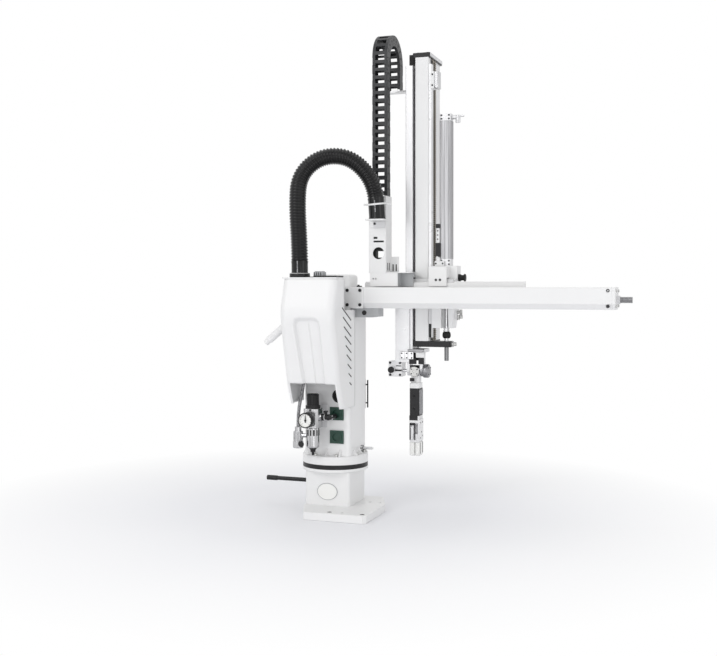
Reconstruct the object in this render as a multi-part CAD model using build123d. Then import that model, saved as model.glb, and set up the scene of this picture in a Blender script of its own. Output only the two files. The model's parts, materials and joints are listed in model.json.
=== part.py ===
from build123d import *
from math import pi, radians, tan
import os

# Swing-arm take-out manipulator, in millimetres.
# Origin: on the swing axis, at the underside of the base plate. +X runs along the
# horizontal beam, -Y is the side of the front cover, +Z is up.

# Base plate and pedestal
PLATE_T = 22.0
PLATE_X0, PLATE_X1 = -70.0, 150.0
PLATE_Y0, PLATE_Y1 = -168.0, 105.0
PLATE_CUT_X, PLATE_CUT_Y = 38.0, 97.0
PLATE_CORNER = 9.0
BOLT_R = 7.0
BOLT_PITCH = 96.0
FRONT_BOLT_X, FRONT_BOLT_Y = 38.0, -148.0
REAR_BOLT_X, REAR_BOLT_Y = -48.0, 85.0
JACK_R = 5.0
JACK_PLACES = [(75.0, -148.0), (101.0, 18.0), (131.0, 18.0)]
PEDESTAL_W = 136.0
PEDESTAL_H = 97.0
PEDESTAL_WALL = 10.0
PEDESTAL_ROUND = 9.0
BAR_R = 6.0
BAR_GRIP_R = 7.2
BAR_L = 150.0
BAR_GRIP_L = 34.0
BAR_Z = 78.0

# Turntable
FLANGE_R = 95.0
LOWER_FLANGE_T = 9.0
BEARING_T = 12.5
BEARING_BORE_R = 62.0
INNER_RING_WALL = 7.0
RUNNING = 0.05
TURN_GAP = 0.5
UPPER_FLANGE_T = 24.0
SHAFT_R = 14.0
SHAFT_FOOT_R = 32.0
SHAFT_FOOT_T = 8.0
ACTUATOR_W = 100.0
ACTUATOR_H = 90.0

# Column
COLUMN_W = 140.0
COLUMN_H = 412.0
COLUMN_WALL = 8.0
COLUMN_ROUND = 12.0
GUSSET_H = 20.0
GUSSET_D = 14.0
GUSSET_T = 5.0
TOP_PLATE_T = 9.0
PORT_X = 31.0
PORT_ZS = (219.5, 286.0)
PORT_R = 12.0
PORT_W, PORT_H, PORT_T = 41.0, 37.0, 4.0
GROMMET_X, GROMMET_Z, GROMMET_R = 36.0, 336.0, 16.0
REAR_W, REAR_D = 128.0, 19.0
REAR_Z0, REAR_Z1 = 286.0, 565.0
SENSOR_Y = 27.0

# Horizontal beam
BEAM_X0, BEAM_X1 = -60.0, 794.0
BEAM_D = 80.0
BEAM_H = 60.0
BEAM_Y = -20.0
BEAM_WALL = 5.0
BEAM_CHAMFER = 15.0
BEAM_ROUND = 5.0
CAP_T = 10.0
BRACKET_L = 90.0
BRACKET_H = 26.0
CLAMP_W = 55.0
CLAMP_T = 6.0
ADJUSTER_R = 9.0
ADJUSTER_L = 40.0
RAIL_X0, RAIL_X1 = 84.0, 552.0
RAIL_T = 12.0
RAIL_H = 30.0
RAIL_RISE = 16.0
KICK_STROKE = 130.0
KICK_ROD_R = 6.0
KICK_BORE_R = 13.0
KICK_TUBE_R = 17.0
KICK_X0, KICK_X1 = 500.0, 786.0
KICK_HEAD_T = 12.0
LUG_X0, LUG_X1 = 306.0, 322.0

# Front cover
COVER_T = 3.0
COVER_SIDE_GAP = 7.0
COVER_LAP = 16.0
COVER_TOP_Y = -205.0
COVER_NOSE_Y = -236.0
COVER_NOSE_H = 94.0
COVER_WAIST_Y = -184.0
COVER_WAIST_H = 299.0
COVER_FOOT_Y = -143.0
COVER_H = 377.0
COVER_TOP_Z = 669.0
COVER_ROUND = 14.0
LID_T = 4.0
RECESS_W = 76.0
RECESS_D = 4.0
LOUVRES = 9
LOUVRE_PITCH = 26.5
LOUVRE_W = 3.0
LOUVRE_L = 82.0
LOUVRE_STEP = 8.0
LOUVRE_TILT = -27.0
DAMPER_Y, DAMPER_Z = -150.0, 550.0

# Carriage and vertical arm
ARM_X0, ARM_W = 224.0, 40.0
ARM_Y0, ARM_D = 60.0, 130.0
ARM_L = 822.0
ARM_HANG = 38.0
GUIDE_HANG = 58.0
GUIDE_RISE = 61.0
ARM_WALL = 4.0
ARM_CAP_T = 14.0
FOOT_T = 17.0
SUB_W = 22.0
SUB_D = 90.0
SUB_GAP = 7.0
SUB_WALL = 4.0
SUB_HANG = 24.0
SUB_SETBACK = 22.0
SHELF_T = 5.0
SHELF_FOOT_H = 40.0
SIDE_RAIL_H = 8.0
SIDE_RAIL_W = 20.0
SIDE_RAIL_FOOT = 10.0
SIDE_RAIL_DROP = 20.0
STOP_DROP = 92.0
STOP_H = 49.0
STOP_D = 28.0
STOP_OUT = 22.0
BELT_T = 3.0
BELT_Y0, BELT_Y1 = 96.0, 134.0
LIFT_X, LIFT_Y = 313.0, 80.0
LIFT_ROD_R = 6.0
LIFT_BORE_R = 12.5
LIFT_TUBE_W = 32.0
LIFT_TUBE_L = 399.0
LIFT_HEAD_T = 20.0
SLIDE_GAP = 0.3

# Cable chain
CHAIN_X0, CHAIN_W = 113.0, 45.0
CHAIN_Y0 = 0.0
CHAIN_D = 31.0
CHAIN_SIDE_T = 5.0
CHAIN_BAR_T = 3.0
CHAIN_BAR_H = 12.0
CHAIN_BAR_SET = 0.6
CHAIN_LINKS = 16
CHAIN_PITCH = 25.0
CHAIN_R = 77.5
CHAIN_DROP = 5.0
CHAIN_TAIL_LINKS = 3
CHAIN_ARC_LINKS = 8

# Corrugated hose
HOSE_R = 24.0

# Wrist and gripper
FLIP_Y = 80.0
FLIP_DROP = 64.0
HUB_X0, HUB_X1 = 207.0, 236.0
HUB_R = 17.0
PIVOT_R = 8.0
EAR_T = 9.0
FLIP_TOP_T = 10.0
FLIP_TOP_D = 62.0
FLIP_PLATE_W = 42.0
FLIP_PLATE_OUT = 29.0
FLIP_PLATE_RISE = 154.0
FLIP_PLATE_DROP = 38.0
STICK_D = 38.0
NECK_H = 33.0
POSTURE_H = 80.0
GRIP_H = 77.0
GRIP_ROOF = 14.0
JAW_PIN_R = 3.0
JAW_W = 11.0
JAW_T = 20.0
JAW_L = 58.0
JAW_GAP = 4.0

# Air service unit
UNIT_X, UNIT_Y = -24.5, -115.0
UNIT_W = 44.0
UNIT_Z0, UNIT_Z1 = 250.0, 304.0
BOWL_R = 18.0
BOWL_H = 57.0
GAUGE_R = 20.5
KNOB_STEM_R = 9.0
KNOB_R = 17.0
TUBE_R = 5.0
TUBE_POINTS = [
    (-70, -115, 250),
    (-70, -115, 275),
    (-66, -115, 315),
    (-54, -115, 362),
    (-50, -115, 404),
    (-50, -115, 430),
]

# Heights that follow from the stack
PEDESTAL_Z = PLATE_T
LOWER_FLANGE_Z = PEDESTAL_Z + PEDESTAL_H
BEARING_Z = LOWER_FLANGE_Z + LOWER_FLANGE_T
UPPER_FLANGE_Z = BEARING_Z + BEARING_T + TURN_GAP
COLUMN_Z = UPPER_FLANGE_Z + UPPER_FLANGE_T
TOP_PLATE_Z = COLUMN_Z + COLUMN_H
BEAM_Z = TOP_PLATE_Z + TOP_PLATE_T
BEAM_TOP = BEAM_Z + BEAM_H
BEAM_Y0 = BEAM_Y - BEAM_D / 2
BEAM_Y1 = BEAM_Y + BEAM_D / 2
COLUMN_FRONT = -COLUMN_W / 2
COVER_W = COLUMN_W + 2 * (COVER_SIDE_GAP + COVER_T)
COVER_BACK_Y = COLUMN_FRONT + COVER_LAP
KICK_Z = BEAM_Z + 26.0
HOSE_Z0 = COVER_TOP_Z + LID_T

# Carriage places that follow from the beam, its rail and the arm
RAIL_Y1 = BEAM_Y1 + RAIL_T
RAIL_TOP = BEAM_TOP + RAIL_RISE
RAIL_Z = RAIL_TOP - RAIL_H
SHOE_WALL = 6.0
SHOE_L = 70.0
BACK_PLATE_Y = RAIL_Y1 + SHOE_WALL
BACK_PLATE_T = 14.0
BACK_Y1 = BACK_PLATE_Y + BACK_PLATE_T
BACK_PLATE_Z = BEAM_Z + 4.0
BACK_PLATE_TOP = RAIL_TOP + SHOE_WALL + 2.0
BACK_X0, BACK_X1 = 113.0, 352.0
BASE_W = 83.0
BASE_Y0 = -20.0
BASE_T = 16.0
BASE_TOP = BACK_PLATE_TOP + BASE_T
ARM_X1 = ARM_X0 + ARM_W
ARM_Y1 = ARM_Y0 + ARM_D
GUIDE_Z0, GUIDE_Z1 = BEAM_Z - GUIDE_HANG, BEAM_TOP + GUIDE_RISE
ARM_Z0 = GUIDE_Z0 - ARM_HANG
ARM_Z1 = ARM_Z0 + ARM_L
GUIDE_X0, GUIDE_X1 = ARM_X1 + 12.0, ARM_X1 + 66.0
GUIDE_Y1 = BACK_Y1 + 100.0
LIFT_Z0 = GUIDE_Z1
SUB_X1 = ARM_X0 - SUB_GAP
SUB_X0 = SUB_X1 - SUB_W
SUB_Y0 = ARM_Y0
SUB_Z0 = ARM_Z0 - SUB_HANG
SUB_Z1 = ARM_Z1 - SUB_SETBACK
SUB_Y1 = SUB_Y0 + SUB_D
SUB_RAIL_Y = ARM_Y0 + 45.0
CHAIN_X1 = CHAIN_X0 + CHAIN_W
CHAIN_LOOP_Z = ARM_Z1 - CHAIN_DROP
CHAIN_END_Z = CHAIN_LOOP_Z - CHAIN_LINKS * CHAIN_PITCH
CHAIN_LOOP_Y = CHAIN_Y0 + CHAIN_R
CHAIN_REAR_Y = CHAIN_Y0 + 2 * CHAIN_R - CHAIN_D
CHAIN_TAIL_Z = CHAIN_LOOP_Z - CHAIN_TAIL_LINKS * CHAIN_PITCH

# Heights down the wrist
STICK_X = (HUB_X0 + HUB_X1) / 2
FLIP_Z = SUB_Z0 - FLIP_DROP
POSTURE_Z1 = FLIP_Z - HUB_R - NECK_H
POSTURE_Z0 = POSTURE_Z1 - POSTURE_H
GRIP_Z0 = POSTURE_Z0 - GRIP_H
JAW_PIN_Z = GRIP_Z0 + 10.0

# Centre line of the hose, from the lid over to the chain bracket
HOSE_POINTS = [
    (-46, -160, HOSE_Z0),
    (-46, -160, 750),
    (-58, -152, 890),
    (-58, -134, 985),
    (-2, -111, 1036),
    (70, -87, 1037),
    (127, -65, 985),
    (144, -47, 905),
    (144, -47, 838),
]


def block(x0, x1, y0, y1, z0, z1):
    """A box between two corners."""
    middle = Pos((x0 + x1) / 2, (y0 + y1) / 2, (z0 + z1) / 2)
    return middle * Box(x1 - x0, y1 - y0, z1 - z0)


def rod_z(x, y, z0, z1, r):
    return Pos(x, y, (z0 + z1) / 2) * Cylinder(r, z1 - z0)


def rod_x(y, z, x0, x1, r):
    return Pos((x0 + x1) / 2, y, z) * Rot(0, 90, 0) * Cylinder(r, x1 - x0)


def rod_y(x, z, y0, y1, r):
    return Pos(x, (y0 + y1) / 2, z) * Rot(90, 0, 0) * Cylinder(r, y1 - y0)


def square_tube(width, wall, z0, z1, corner):
    """A square hollow column about the swing axis with rounded corners."""
    outer = RectangleRounded(width, width, corner)
    inner = RectangleRounded(width - 2 * wall, width - 2 * wall, corner - wall / 2)
    return Pos(0, 0, z0) * extrude(outer - inner, z1 - z0)


def along_x(points, x0, x1):
    """A flat outline of (y, z) points extruded along X."""
    outline = Polyline(*[(x0, y, z) for y, z in points], close=True)
    return extrude(make_face(outline), x1 - x0, dir=(1, 0, 0))


def along_y(points, y0, y1):
    """A flat outline of (x, z) points extruded along Y."""
    outline = Polyline(*[(x, y0, z) for x, z in points], close=True)
    return extrude(make_face(outline), y1 - y0, dir=(0, 1, 0))


def along_z(points, z0, z1):
    """A flat outline of (x, y) points extruded along Z."""
    outline = Polyline(*[(x, y, z0) for x, y in points], close=True)
    return extrude(make_face(outline), z1 - z0, dir=(0, 0, 1))


def cord_tube(points, r):
    """A plain tube along straight runs joined by arcs as large as the runs allow."""
    corners = [Vector(*p) for p in points]
    radii = []
    for a, b, c in zip(corners, corners[1:], corners[2:]):
        shorter = min((b - a).length, (c - b).length)
        half_turn = (b - a).get_angle(c - b) / 2
        radii.append(0.45 * shorter / tan(radians(half_turn)))
    path = FilletPolyline(*points, radius=radii)
    tube = sweep(Plane(origin=path @ 0, z_dir=path % 0) * Circle(r), path)
    expected = path.length * pi * r**2
    print("radii", [round(v) for v in radii], "volume", round(tube.volume), "of", round(expected))
    return tube


def vertical_edges(shape):
    return shape.edges().filter_by(Axis.Z)


def group(shapes):
    """Several separate solids kept in one node."""
    return Compound(children=[solid for shape in shapes for solid in shape.solids()])


# Pedestal

def make_base_plate():
    c = PLATE_CORNER
    outline = [
        (PLATE_X0 + PLATE_CUT_X, PLATE_Y0),
        (PLATE_X1 - c, PLATE_Y0),
        (PLATE_X1, PLATE_Y0 + c),
        (PLATE_X1, PLATE_Y1 - PLATE_CUT_Y),
        (PLATE_X1 - PLATE_CUT_X, PLATE_Y1),
        (PLATE_X0 + c, PLATE_Y1),
        (PLATE_X0, PLATE_Y1 - c),
        (PLATE_X0, PLATE_Y0 + PLATE_CUT_Y),
    ]
    plate = along_z(outline, 0, PLATE_T)
    plate = chamfer(plate.faces().sort_by(Axis.Z)[-1].edges(), 2)
    for x, y in ((FRONT_BOLT_X, FRONT_BOLT_Y), (REAR_BOLT_X, REAR_BOLT_Y)):
        plate -= rod_z(x, y, -1, PLATE_T + 1, BOLT_R)
        plate -= rod_z(x + BOLT_PITCH, y, -1, PLATE_T + 1, BOLT_R)
    for x, y in JACK_PLACES:
        plate -= rod_z(x, y, -1, PLATE_T + 1, JACK_R)
    return plate


def make_pedestal():
    """The square pedestal with the turntable flange welded on top."""
    box = square_tube(PEDESTAL_W, PEDESTAL_WALL, PEDESTAL_Z, LOWER_FLANGE_Z, PEDESTAL_ROUND)
    box -= rod_x(0, BAR_Z, -PEDESTAL_W, -PEDESTAL_W / 2 + PEDESTAL_WALL + 1, BAR_R + RUNNING)
    disc = rod_z(0, 0, LOWER_FLANGE_Z, BEARING_Z, FLANGE_R)
    return box + chamfer(disc.edges().sort_by(Axis.Z)[0], 1.5)


def make_side_bar():
    inner = -PEDESTAL_W / 2 + PEDESTAL_WALL
    outer = -PEDESTAL_W / 2 - BAR_L
    bar = rod_x(0, BAR_Z, outer + BAR_GRIP_L, inner, BAR_R)
    grip = rod_x(0, BAR_Z, outer, outer + BAR_GRIP_L, BAR_GRIP_R)
    grip = fillet(grip.edges(), 2)
    nut = rod_x(0, BAR_Z, -PEDESTAL_W / 2 - 6, -PEDESTAL_W / 2, BAR_R + 3)
    return bar + grip + nut


def make_bearing_outer():
    ring = rod_z(0, 0, BEARING_Z, BEARING_Z + BEARING_T, FLANGE_R - 0.5)
    return ring - rod_z(0, 0, BEARING_Z - 1, BEARING_Z + BEARING_T + 1, BEARING_BORE_R)


def make_actuator_shaft():
    foot = rod_z(0, 0, BEARING_Z, BEARING_Z + SHAFT_FOOT_T, SHAFT_FOOT_R)
    return foot + rod_z(0, 0, BEARING_Z, COLUMN_Z + ACTUATOR_H - 6, SHAFT_R)


# Swinging column

def make_bearing_inner():
    z0 = BEARING_Z + TURN_GAP
    ring_r = BEARING_BORE_R - RUNNING
    ring = rod_z(0, 0, z0, UPPER_FLANGE_Z, ring_r)
    return ring - rod_z(0, 0, z0 - 1, UPPER_FLANGE_Z + 1, ring_r - INNER_RING_WALL)


def make_upper_flange():
    disc = rod_z(0, 0, UPPER_FLANGE_Z, COLUMN_Z, FLANGE_R)
    disc = chamfer(disc.edges().sort_by(Axis.Z)[-1], 2)
    return disc - rod_z(0, 0, UPPER_FLANGE_Z - 1, COLUMN_Z + 1, SHAFT_R + 6)


def make_column():
    """The square swinging column with its top plate and the gussets at its foot."""
    tube = square_tube(COLUMN_W, COLUMN_WALL, COLUMN_Z, TOP_PLATE_Z, COLUMN_ROUND)
    for z in PORT_ZS:
        tube -= rod_y(PORT_X, z, COLUMN_FRONT - 1, COLUMN_FRONT + COLUMN_WALL + 1, PORT_R)
    tube -= rod_y(GROMMET_X, GROMMET_Z, COLUMN_FRONT - 1, COLUMN_FRONT + COLUMN_WALL + 1, GROMMET_R)
    rib = [
        (COLUMN_FRONT, COLUMN_Z),
        (COLUMN_FRONT - GUSSET_D, COLUMN_Z),
        (COLUMN_FRONT, COLUMN_Z + GUSSET_H),
    ]
    for turn in (0, 90, 180, 270):
        for x in (-42, 0, 42):
            tube += Rot(0, 0, turn) * along_x(rib, x - GUSSET_T / 2, x + GUSSET_T / 2)
    plate = extrude(RectangleRounded(COLUMN_W, COLUMN_W, COLUMN_ROUND), TOP_PLATE_T)
    return tube + Pos(0, 0, TOP_PLATE_Z) * plate




def make_port_plates():
    plates = []
    y1 = COLUMN_FRONT
    for z in PORT_ZS:
        plate = block(PORT_X - PORT_W / 2, PORT_X + PORT_W / 2, y1 - PORT_T, y1, z - PORT_H / 2, z + PORT_H / 2)
        plate += rod_y(PORT_X, z, y1 - PORT_T - 2.5, y1 - PORT_T, PORT_R + 3)
        plates.append(plate - rod_y(PORT_X, z, y1 - PORT_T - 3, y1 - 1, PORT_R))
    return group(plates)


def make_swing_actuator():
    h = ACTUATOR_W / 2
    body = block(-h, h, -h, h, COLUMN_Z, COLUMN_Z + ACTUATOR_H)
    body = chamfer(vertical_edges(body), 14)
    body -= rod_z(0, 0, COLUMN_Z - 1, COLUMN_Z + ACTUATOR_H + 1, SHAFT_R + RUNNING)
    return body - rod_z(0, 0, COLUMN_Z - 1, COLUMN_Z + 4, SHAFT_R + 8)


def make_rear_cover():
    """The shallow cover over the valves on the back of the column."""
    y0 = COLUMN_W / 2
    box = block(-REAR_W / 2, REAR_W / 2, y0, y0 + REAR_D, REAR_Z0, REAR_Z1)
    box = fillet(vertical_edges(box).sort_by(Axis.Y)[-2:], 5)
    t = COVER_T
    return box - block(-REAR_W / 2 + t, REAR_W / 2 - t, y0 - 1, y0 + REAR_D - t, REAR_Z0 + t, REAR_Z1 - t)


def make_swing_sensor():
    x0 = COLUMN_W / 2
    z = COLUMN_Z + 12
    body = rod_x(SENSOR_Y, z, x0 + 6, x0 + 33, 4)
    nut = rod_x(SENSOR_Y, z, x0, x0 + 6, 8)
    return body + nut + rod_x(SENSOR_Y, z, x0 + 33, x0 + 37, 3)


# Front cover

def cover_profile(inset):
    """The side view of the cover as (y, z) points, moved in by inset at the front."""
    top = COVER_TOP_Z
    return [
        (COVER_BACK_Y, top),
        (COVER_TOP_Y + inset, top),
        (COVER_NOSE_Y + inset, top - COVER_NOSE_H),
        (COVER_WAIST_Y + inset, top - COVER_WAIST_H),
        (COVER_FOOT_Y + inset, top - COVER_H),
        (COVER_BACK_Y, top - COVER_H),
    ]


def cover_recess(extra):
    """The long hollow panel down the front face, grown by extra on every side."""
    top_z = COVER_TOP_Z - COVER_NOSE_H - 14
    foot_z = COVER_TOP_Z - COVER_WAIST_H - 4
    slope = (COVER_WAIST_Y - COVER_NOSE_Y) / (COVER_WAIST_H - COVER_NOSE_H)
    top_y = COVER_NOSE_Y + slope * (COVER_TOP_Z - COVER_NOSE_H - top_z)
    foot_y = COVER_NOSE_Y + slope * (COVER_TOP_Z - COVER_NOSE_H - foot_z)
    depth = RECESS_D + extra
    w = RECESS_W / 2 + extra
    points = [
        (top_y - 30, top_z + extra),
        (top_y + depth, top_z + extra),
        (foot_y + depth, foot_z),
        (foot_y - 30, foot_z),
    ]
    return along_x(points, -w, w)


def front_corners(shape):
    """The upright edges at the front corners of the cover."""
    return [
        e for e in shape.edges()
        if abs(e.center().X) > COVER_W / 2 - COVER_T - 1
        and e.center().Y < COVER_FOOT_Y
        and abs((e % 0.5).X) < 0.1
    ]


def make_cover():
    """The folded front cover: an open-backed shell with a recess, louvres and a notch for the beam."""
    half = COVER_W / 2
    low, waist = COVER_TOP_Z - COVER_H, COVER_TOP_Z - COVER_WAIST_H
    outer = along_x(cover_profile(0), -half, half)
    outer = fillet(front_corners(outer), COVER_ROUND) - cover_recess(0)
    inner = along_x(cover_profile(COVER_T), -half + COVER_T, half - COVER_T)
    inner = fillet(front_corners(inner), COVER_ROUND - COVER_T)
    inner += block(-half + COVER_T, half - COVER_T, COVER_BACK_Y - 30, COVER_BACK_Y + 5, low, COVER_TOP_Z)
    shell = outer - (inner - cover_recess(COVER_T))
    shell -= block(-half + COVER_ROUND, half - COVER_ROUND, COVER_NOSE_Y, COVER_BACK_Y, low - 5, waist)
    notch_z = BEAM_Z - 3
    shell -= block(half - 2 * COVER_T, half + 1, COVER_FOOT_Y, 0, notch_z, COVER_TOP_Z + 1)
    for i in range(LOUVRES):
        length = LOUVRE_L - LOUVRE_STEP * i
        z = notch_z - 18 - LOUVRE_PITCH * i
        slot = Box(4 * COVER_T, length, LOUVRE_W)
        for side in (-1, 1):
            shell -= Pos(side * half, -84 - length / 2, z) * Rot(LOUVRE_TILT, 0, 0) * slot
    spacer_y = COLUMN_FRONT + COLUMN_ROUND
    for side in (-1, 1):
        x0, x1 = sorted((side * COLUMN_W / 2, side * (half - COVER_T)))
        for z in (low + 30, notch_z - 40):
            shell += rod_x(spacer_y, z, x0, x1, 4)
    return shell


def make_lid():
    """The flat black lid with the raised ring that holds the hose."""
    half = COVER_W / 2
    outline = [
        (-half, COVER_TOP_Y),
        (half, COVER_TOP_Y),
        (half, COVER_FOOT_Y),
        (24, COVER_FOOT_Y),
        (24, BEAM_Y0 - 8),
        (-half, BEAM_Y0 - 8),
    ]
    lid = along_z(outline, COVER_TOP_Z, HOSE_Z0)
    x, y, z = HOSE_POINTS[0]
    ring = rod_z(x, y, z, z + 12, HOSE_R + 4)
    return lid + ring - rod_z(x, y, z, z + 13, HOSE_R + SLIDE_GAP)


def make_swing_damper():
    lean = Pos(-COVER_W / 2, DAMPER_Y, DAMPER_Z) * Rot(0, 230, 0)
    body = lean * Pos(0, 0, 41) * Cylinder(11, 82)
    body = body & block(-300, -COVER_W / 2, -250, -50, 300, 700)
    tip = lean * Pos(0, 0, 89) * Cylinder(9, 14)
    x = -COVER_W / 2
    pad = block(x - 4, x, DAMPER_Y - 20, DAMPER_Y + 20, DAMPER_Z - 24, DAMPER_Z + 24)
    return body + tip + pad


# Beam

def beam_profile(inset):
    h, c = BEAM_D / 2 - inset, BEAM_CHAMFER - inset * 0.4
    y0, y1 = BEAM_Y - h, BEAM_Y + h
    z0, z1 = BEAM_Z + inset, BEAM_TOP - inset
    return [(y0, z0 + c), (y0 + c, z0), (y1 - c, z0), (y1, z0 + c), (y1, z1), (y0, z1)]


def make_beam():
    outer = along_x(beam_profile(0), BEAM_X0, BEAM_X1)
    top = outer.edges().filter_by(Axis.X).sort_by(Axis.Z)[-2:]
    outer = fillet(top, BEAM_ROUND)
    tube = outer - along_x(beam_profile(BEAM_WALL), BEAM_X0 - 1, BEAM_X1 + 1)
    slot = block(LUG_X0 - 8, LUG_X1 + KICK_STROKE + 8, BEAM_Y1 - 2 * BEAM_WALL, BEAM_Y1 + 1,
                 KICK_Z - 12, KICK_Z + 12)
    return tube - slot




def make_beam_cap():
    cap = along_x(beam_profile(0), BEAM_X1, BEAM_X1 + CAP_T)
    cap = chamfer(cap.faces().sort_by(Axis.X)[-1].edges(), 1.5)
    return cap - rod_x(BEAM_Y, KICK_Z, BEAM_X1 - 1, BEAM_X1 + CAP_T + 1, ADJUSTER_R + RUNNING)


def make_stroke_adjuster():
    x0 = BEAM_X1 + CAP_T
    stem = rod_x(BEAM_Y, KICK_Z, KICK_X1, x0 + ADJUSTER_L, ADJUSTER_R)
    stem = chamfer(stem.edges().sort_by(Axis.X)[-1], 2)
    return stem + rod_x(BEAM_Y, KICK_Z, x0, x0 + 5, ADJUSTER_R + 4)


def make_saddle():
    cap = block(-50, 64, BEAM_Y0 - 4, BEAM_Y1 + 4, BEAM_TOP, BEAM_TOP + 36)
    cap = fillet(vertical_edges(cap), 16)
    return fillet(cap.faces().sort_by(Axis.Z)[-1].edges(), 10)


def make_beam_bracket():
    """The web under the root of the beam and the clamp plate on the beam's face."""
    x0 = COLUMN_W / 2
    x1, z0 = x0 + BRACKET_L, BEAM_Z - BRACKET_H
    web = [(x0, BEAM_Z), (x1, BEAM_Z), (x1, z0 + 6), (x1 - 14, z0), (x0, z0)]
    body = along_y(web, BEAM_Y0 + 16, BEAM_Y1 - 16)
    body -= rod_y(x0 + 34, BEAM_Z - BRACKET_H / 2, BEAM_Y0, BEAM_Y1, 7)
    clamp_x0 = x0 - 20
    clamp_x1 = clamp_x0 + CLAMP_W
    clamp_y0 = BEAM_Y0 - CLAMP_T
    body += block(clamp_x0, clamp_x1, clamp_y0, BEAM_Y0, BEAM_Z, BEAM_TOP)
    return body + block(x0 + 2, clamp_x1, clamp_y0, BEAM_Y1 - 16, BEAM_Z - 2, BEAM_Z)


def rail_outline(gap):
    """The section of the kick rail as (y, z) points, grown by gap, with a groove along each edge."""
    y0, y1 = BEAM_Y1, RAIL_Y1 + gap
    z0, z1 = RAIL_Z - gap, RAIL_TOP + gap
    mid, groove = (y0 + RAIL_Y1) / 2, 3.0
    return [
        (y0, z0 + groove),
        (mid, z0 + groove),
        (mid + groove, z0),
        (y1, z0),
        (y1, z1),
        (mid + groove, z1),
        (mid, z1 - groove),
        (y0, z1 - groove),
    ]


def make_cross_rail():
    return along_x(rail_outline(0), RAIL_X0, RAIL_X1)


def make_kick_barrel():
    tube = rod_x(BEAM_Y, KICK_Z, KICK_X0, KICK_X1, KICK_TUBE_R)
    z0, z1 = BEAM_Z + BEAM_WALL, BEAM_TOP - BEAM_WALL
    for x in (KICK_X0, KICK_X1 - KICK_HEAD_T):
        tube += block(x, x + KICK_HEAD_T, BEAM_Y - 22, BEAM_Y + 22, z0, z1)
    tube -= rod_x(BEAM_Y, KICK_Z, KICK_X0 + KICK_HEAD_T, KICK_X1 - KICK_HEAD_T, KICK_BORE_R)
    return tube - rod_x(BEAM_Y, KICK_Z, KICK_X0 - 1, KICK_X0 + KICK_HEAD_T + 1, KICK_ROD_R + RUNNING)


# Air service unit, hung on the column's front face

def make_unit_body():
    h = UNIT_W / 2
    body = block(UNIT_X - h, UNIT_X + h, UNIT_Y - h, UNIT_Y + h, UNIT_Z0, UNIT_Z1)
    body = chamfer(vertical_edges(body), 6)
    body += rod_x(UNIT_Y, UNIT_Z0 + 30, UNIT_X - h - 6, UNIT_X + h + 6, 11)
    return body - rod_z(UNIT_X, UNIT_Y, UNIT_Z1 - 8, UNIT_Z1 + 1, KNOB_STEM_R + RUNNING)




def make_knob():
    z = UNIT_Z1 + SLIDE_GAP
    skirt = rod_z(UNIT_X, UNIT_Y, z, z + 8, KNOB_R + 4)
    grip = rod_z(UNIT_X, UNIT_Y, z + 8, z + 41, KNOB_R)
    grip = chamfer(grip.edges().sort_by(Axis.Z)[-1], 2.5)
    for turn in range(0, 360, 30):
        grip -= Pos(UNIT_X, UNIT_Y, z + 27) * Rot(0, 0, turn) * Pos(KNOB_R, 0, 0) * Cylinder(1.8, 34)
    return skirt + grip + rod_z(UNIT_X, UNIT_Y, UNIT_Z1 - 6, z, KNOB_STEM_R)


def make_bowl():
    z0 = UNIT_Z0 - BOWL_H
    guard = rod_z(UNIT_X, UNIT_Y, z0, UNIT_Z0, BOWL_R)
    guard = fillet(guard.edges().sort_by(Axis.Z)[0], 5)
    for turn in range(0, 360, 60):
        guard -= Pos(UNIT_X, UNIT_Y, UNIT_Z0 - 14) * Rot(0, 0, turn) * Pos(BOWL_R, 0, 0) * Box(6, 5, 18)
    stem = rod_z(UNIT_X, UNIT_Y, z0 - 12, z0, 7)
    return guard + stem + rod_z(UNIT_X, UNIT_Y, z0 - 21.5, z0 - 12, 3.5)


def make_unit_bracket():
    """The bracket of the air service unit with the two elbows beside it."""
    y0 = UNIT_Y + UNIT_W / 2
    arm = block(UNIT_X - 16, UNIT_X + 16, y0, COLUMN_FRONT - 4, UNIT_Z0 + 12, UNIT_Z0 + 46)
    foot = block(UNIT_X - 26, UNIT_X + 26, COLUMN_FRONT - 4, COLUMN_FRONT, UNIT_Z0 - 4, UNIT_Z0 + 62)
    x0 = UNIT_X + UNIT_W / 2 + 6
    z = UNIT_Z0 + 30
    x1 = PORT_X - 3
    outlet = rod_x(UNIT_Y, z, x0, x1 + 6, 6) + rod_x(UNIT_Y, z, x0, x0 + 9, 9)
    outlet += rod_y(x1, z, UNIT_Y, COLUMN_FRONT - PORT_T - 2.5, 6)
    tx, ty, tz = TUBE_POINTS[-1]
    socket = rod_z(tx, ty, tz, tz + 16, TUBE_R + 3)
    socket += rod_y(tx, tz + 8, ty, COLUMN_FRONT, TUBE_R + 1)
    return group([arm + foot, outlet, socket])


def make_gauge():
    y1 = UNIT_Y - UNIT_W / 2
    x, z = UNIT_X - 6, UNIT_Z0 + 24
    stem = rod_y(x, z, y1 - 7, y1, 6)
    case = rod_y(x, z, y1 - 24, y1 - 7, GAUGE_R)
    case = fillet(case.edges().sort_by(Axis.Y)[-1], 3)
    dish = rod_y(x, z, y1 - 25, y1 - 19, GAUGE_R - 2.5)
    spindle_hole = rod_y(x, z, y1 - 22, y1 - 14, 1.2 + RUNNING)
    return stem + case - dish - spindle_hole


def make_needle():
    y1 = UNIT_Y - UNIT_W / 2
    x, z = UNIT_X - 6, UNIT_Z0 + 24
    hub = rod_y(x, z, y1 - 22, y1 - 15, 1.2)
    cap = rod_y(x, z, y1 - 22.5, y1 - 20.6, 3)
    blade = [(x - 1.6, z - 6), (x + 1.6, z - 6), (x + 0.8, z + 13), (x - 0.8, z + 13)]
    return hub + cap + along_y(blade, y1 - 21.6, y1 - 20.6)




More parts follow.
